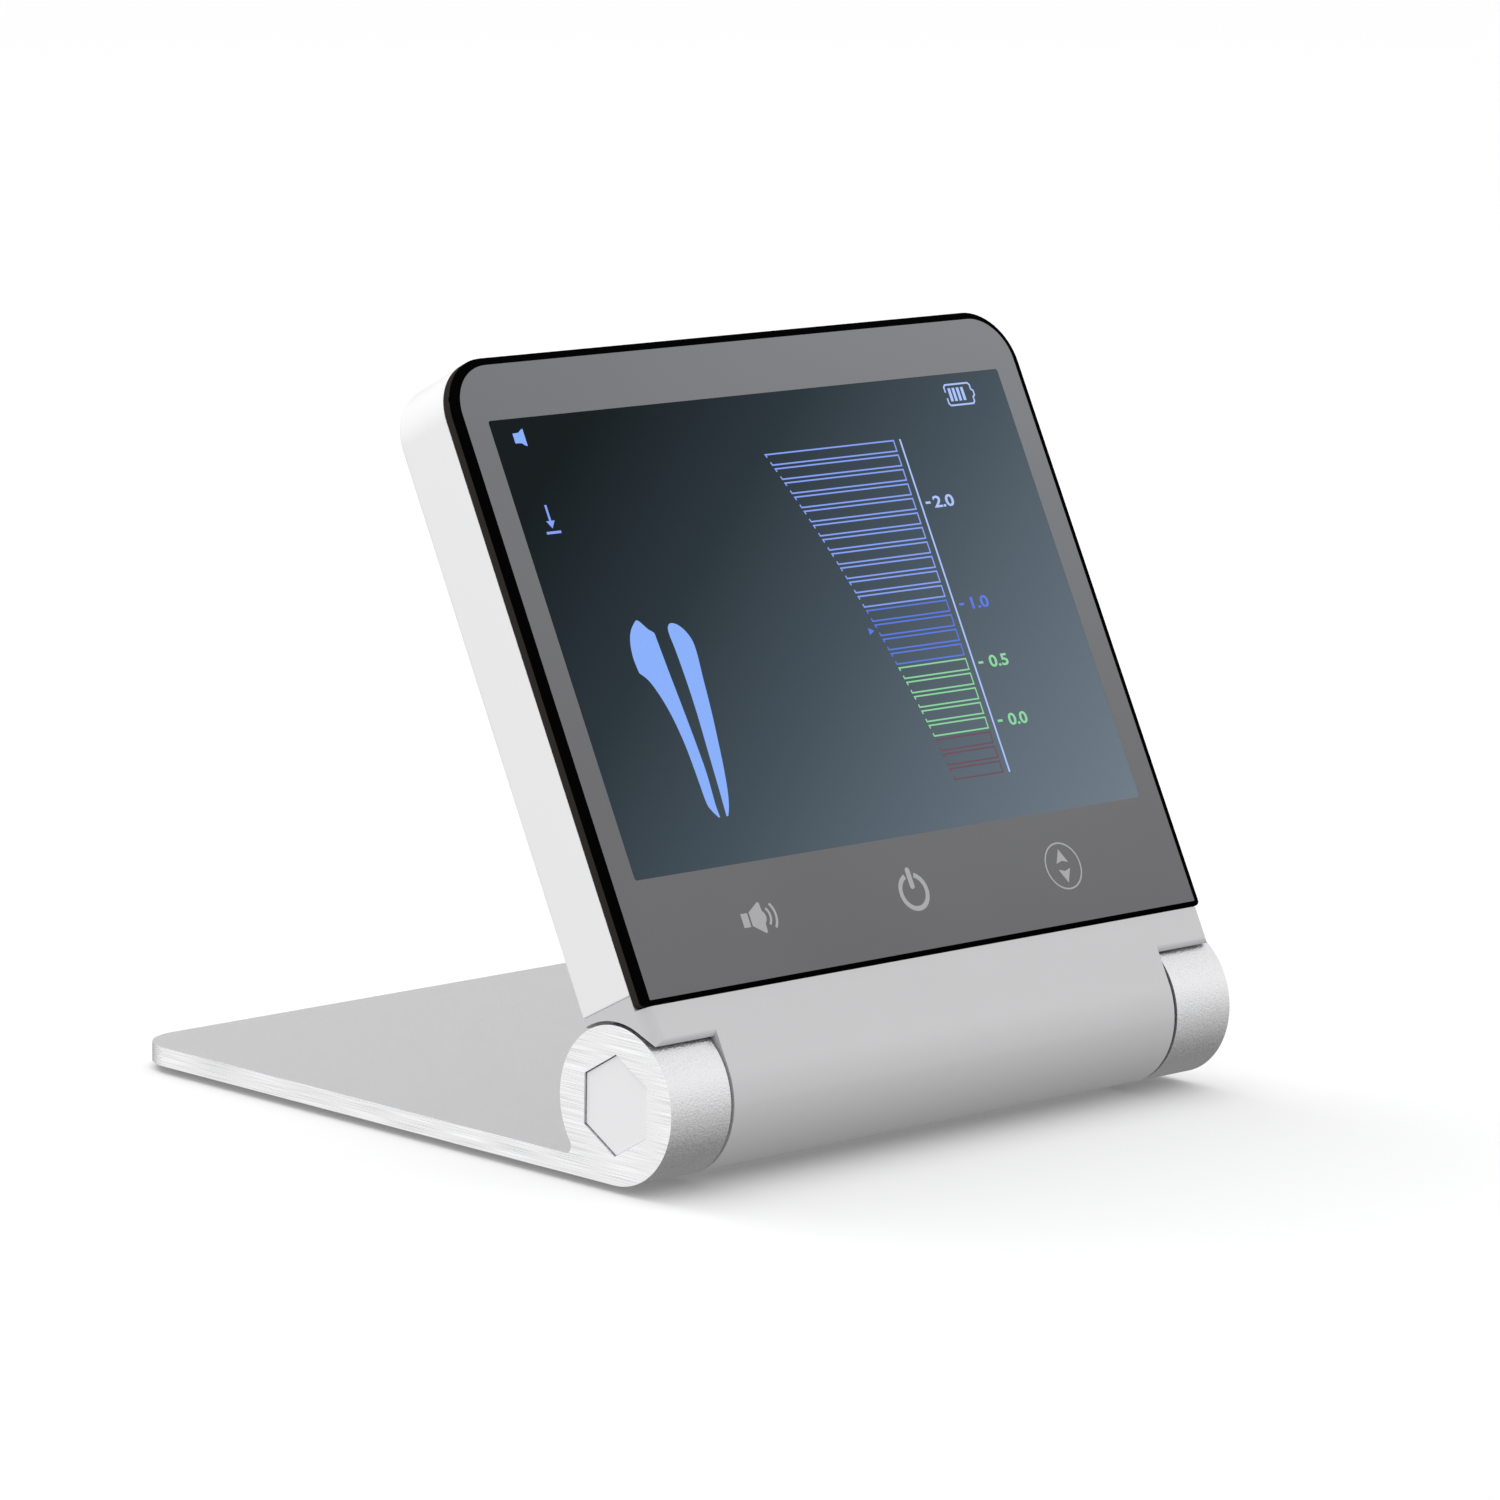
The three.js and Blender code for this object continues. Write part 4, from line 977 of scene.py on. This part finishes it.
def make_lens_materials():
    return {
        "lens_edge": new_black("lens_edge", (0.0015, 0.0015, 0.0015), 0.35),
        "lens_side": new_black("lens_side", (0.03, 0.026, 0.024), 0.25),
        # The border's grey, lighter towards the top right, is a painted reflection of the studio in the dark
        # glass.
        "lens_border": ink_and_painted_reflection("lens_border", (0.152, 0.152, 0.157), (0.246, 0.253, 0.270)),
    }


def new_black(name, colour, roughness):
    """A near-black surface without any gloss, for the lens's bevel and its side."""
    material = plastic(name, colour, roughness, 0.02)
    shader_of(material).inputs["Specular IOR Level"].default_value = 0.0
    return material


def make_model():
    slots = make_slot_materials()
    finish_cad_nodes(slots)
    brushing = {"colour": (0.952, 0.952, 0.962), "roughness": 0.34, "scale": 11500, "depth": 0.000004,
                "strength": 0.3, "contrast": 0.24, "detail": 0.0}
    brushed = metal("brushed", stretch=(1, 0.009, 1), **brushing)
    brushed_rear = metal("brushed_rear", stretch=(0.009, 1, 1), **brushing)
    blasted = metal("blasted", (0.70, 0.70, 0.71), 0.36, EVEN, 3900, 0.00004,
                    strength=0.9, contrast=0.17, detail=0.0)
    chamfer = metal("bright_edge", (0.9, 0.9, 0.92), 0.16, EVEN, 4000, 0.000003)
    make_stand([slots["aluminium"], brushed, chamfer, blasted, brushed_rear])
    for side, sign in SIDES:
        make_plug(side, sign, slots["plugPlastic"])
    for name in list(frame["nodes"]):
        if name.startswith("foot_"):
            make_foot(name, slots["rubber"])
    make_casing(slots["whitePlastic"])
    make_cover(slots["coverPlastic"])
    make_screws(slots["steel"])
    make_charge_socket([slots["nickel"], slots["blackPlastic"]])
    make_lead_socket(slots["blackPlastic"])
    make_lens(make_lens_materials())
    make_display(make_display_materials())
    # The icons' real ink, with a slight painted reflection: a little lighter towards the top right.
    make_keys(ink_and_painted_reflection("key_ink", (0.43, 0.43, 0.44), (0.45, 0.45, 0.46)))


FLOOR_REACH = 6000
FLOOR_DEPTH = 20


def make_stage():
    """A wide pale floor. It throws no light back onto the object and doesn't show in its reflections."""
    far = FLOOR_REACH
    floor = box("floor", -far, far, -far, far, -FLOOR_DEPTH, 0, Matrix.Scale(MM, 4))
    floor.data.materials.append(plastic("floor", (0.94, 0.94, 0.94), 0.95, 0.02, 40))
    shader_of(floor.data.materials[0]).inputs["Specular IOR Level"].default_value = 0.0
    floor.visible_diffuse = False
    floor.visible_glossy = False


def world_mask(nodes, links, direction, inner, outer):
    """1 within the inner angle of a direction, falling smoothly to 0 at the outer angle, in degrees."""
    where = nodes.new("ShaderNodeTexCoord")
    dot = nodes.new("ShaderNodeVectorMath")
    dot.operation = "DOT_PRODUCT"
    links.new(where.outputs["Generated"], dot.inputs[0])
    dot.inputs[1].default_value = Vector(direction).normalized()
    fade = nodes.new("ShaderNodeMapRange")
    fade.interpolation_type = "SMOOTHSTEP"
    links.new(dot.outputs["Value"], fade.inputs["Value"])
    fade.inputs["From Min"].default_value = math.cos(math.radians(outer))
    fade.inputs["From Max"].default_value = math.cos(math.radians(inner))
    return fade.outputs["Result"]


SKY = ((0.0, 0.33), (0.35, 0.45), (0.5, 0.78), (0.6, 0.93), (1.0, 1.03))   # height share, brightness
CARDS = (                          # direction, inner and outer angle, brightness added or taken away
    ((-0.69, 0.71, -0.18), 12, 50, 0.43),
    ((-0.96, -0.15, -0.05), 10, 60, 0.40),
    ((0.70, -0.38, 0.60), 8, 36, 0.26),
    ((0.60, -0.78, -0.05), 8, 50, 0.35),
    ((-0.60, -0.80, 0.10), 10, 60, -0.22),
    ((0.69, 0.70, 0.12), 8, 45, -0.32),
)


def make_world():
    """Soft studio surroundings: bright overhead and dimmer below, with cards that light or darken a side."""
    world = bpy.data.worlds.new("studio")
    bpy.context.scene.world = world
    world.use_nodes = True
    nodes, links = world.node_tree.nodes, world.node_tree.links
    where = nodes.new("ShaderNodeTexCoord")
    parts = nodes.new("ShaderNodeSeparateXYZ")
    links.new(where.outputs["Generated"], parts.inputs[0])
    height = nodes.new("ShaderNodeMapRange")
    links.new(parts.outputs["Z"], height.inputs["Value"])
    height.inputs["From Min"].default_value = -1
    ramp = nodes.new("ShaderNodeFloatCurve")
    curve = ramp.mapping.curves[0]
    top = max(level for _, level in SKY)
    curve.points[0].location = (SKY[0][0], SKY[0][1] / top)
    curve.points[1].location = (SKY[-1][0], SKY[-1][1] / top)
    for share, level in SKY[1:-1]:
        curve.points.new(share, level / top)
    links.new(height.outputs["Result"], ramp.inputs["Value"])
    strength = scaled(nodes, links, ramp.outputs["Value"], top)
    for direction, inner, outer, level in CARDS:
        card = scaled(nodes, links, world_mask(nodes, links, direction, inner, outer), level)
        total = nodes.new("ShaderNodeMath")
        total.operation = "ADD"
        links.new(strength, total.inputs[0])
        links.new(card, total.inputs[1])
        strength = total.outputs[0]
    links.new(strength, nodes["Background"].inputs["Strength"])
    nodes["Background"].inputs["Color"].default_value = (1, 1, 1, 1)


def scaled(nodes, links, value, factor):
    product = nodes.new("ShaderNodeMath")
    product.operation = "MULTIPLY"
    product.inputs[1].default_value = factor
    links.new(value, product.inputs[0])
    return product.outputs[0]


def add_light(name, position, target, size, power):
    light = bpy.data.lights.new(name, "AREA")
    light.shape = "RECTANGLE"
    light.size, light.size_y = size
    light.energy = power
    obj = bpy.data.objects.new(name, light)
    bpy.context.scene.collection.objects.link(obj)
    obj.location = position
    obj.rotation_euler = (Vector(target) - Vector(position)).to_track_quat("-Z", "Y").to_euler()


def make_lights():
    make_world()
    add_light("key", position=(-0.15, 0.70, 0.85), target=(0, 0, 0.04), size=(0.6, 0.6), power=2.3)
    bpy.context.scene.view_settings.view_transform = "Standard"


CAMERA_PLACE = Vector((-621.26, -610.59, 191.64))     # from the hinge point, in millimetres
CAMERA_ANGLES = (44.21, -10.06, 0.96)                 # yaw, pitch and roll, in degrees
FOCAL_LENGTH = 168.12                                 # on a sensor 36 wide
CAMERA_SHIFT = (-0.0041, 0.0059)


def make_camera():
    """The photograph's viewpoint: front left, a little above, with a long lens."""
    yaw, pitch, roll = (math.radians(angle) for angle in CAMERA_ANGLES)
    data = bpy.data.cameras.new("camera")
    data.sensor_width = 36
    data.lens = FOCAL_LENGTH
    data.shift_x, data.shift_y = CAMERA_SHIFT
    camera = bpy.data.objects.new("camera", data)
    bpy.context.scene.collection.objects.link(camera)
    turn = Matrix.Rotation(-yaw, 4, "Z") @ Matrix.Rotation(math.pi / 2 + pitch, 4, "X")
    turn = turn @ Matrix.Rotation(roll, 4, "Z")
    camera.matrix_world = Matrix.Translation(HINGE_POINT + CAMERA_PLACE * MM) @ turn
    bpy.context.scene.camera = camera


make_camera()
make_lights()
make_stage()
make_model()
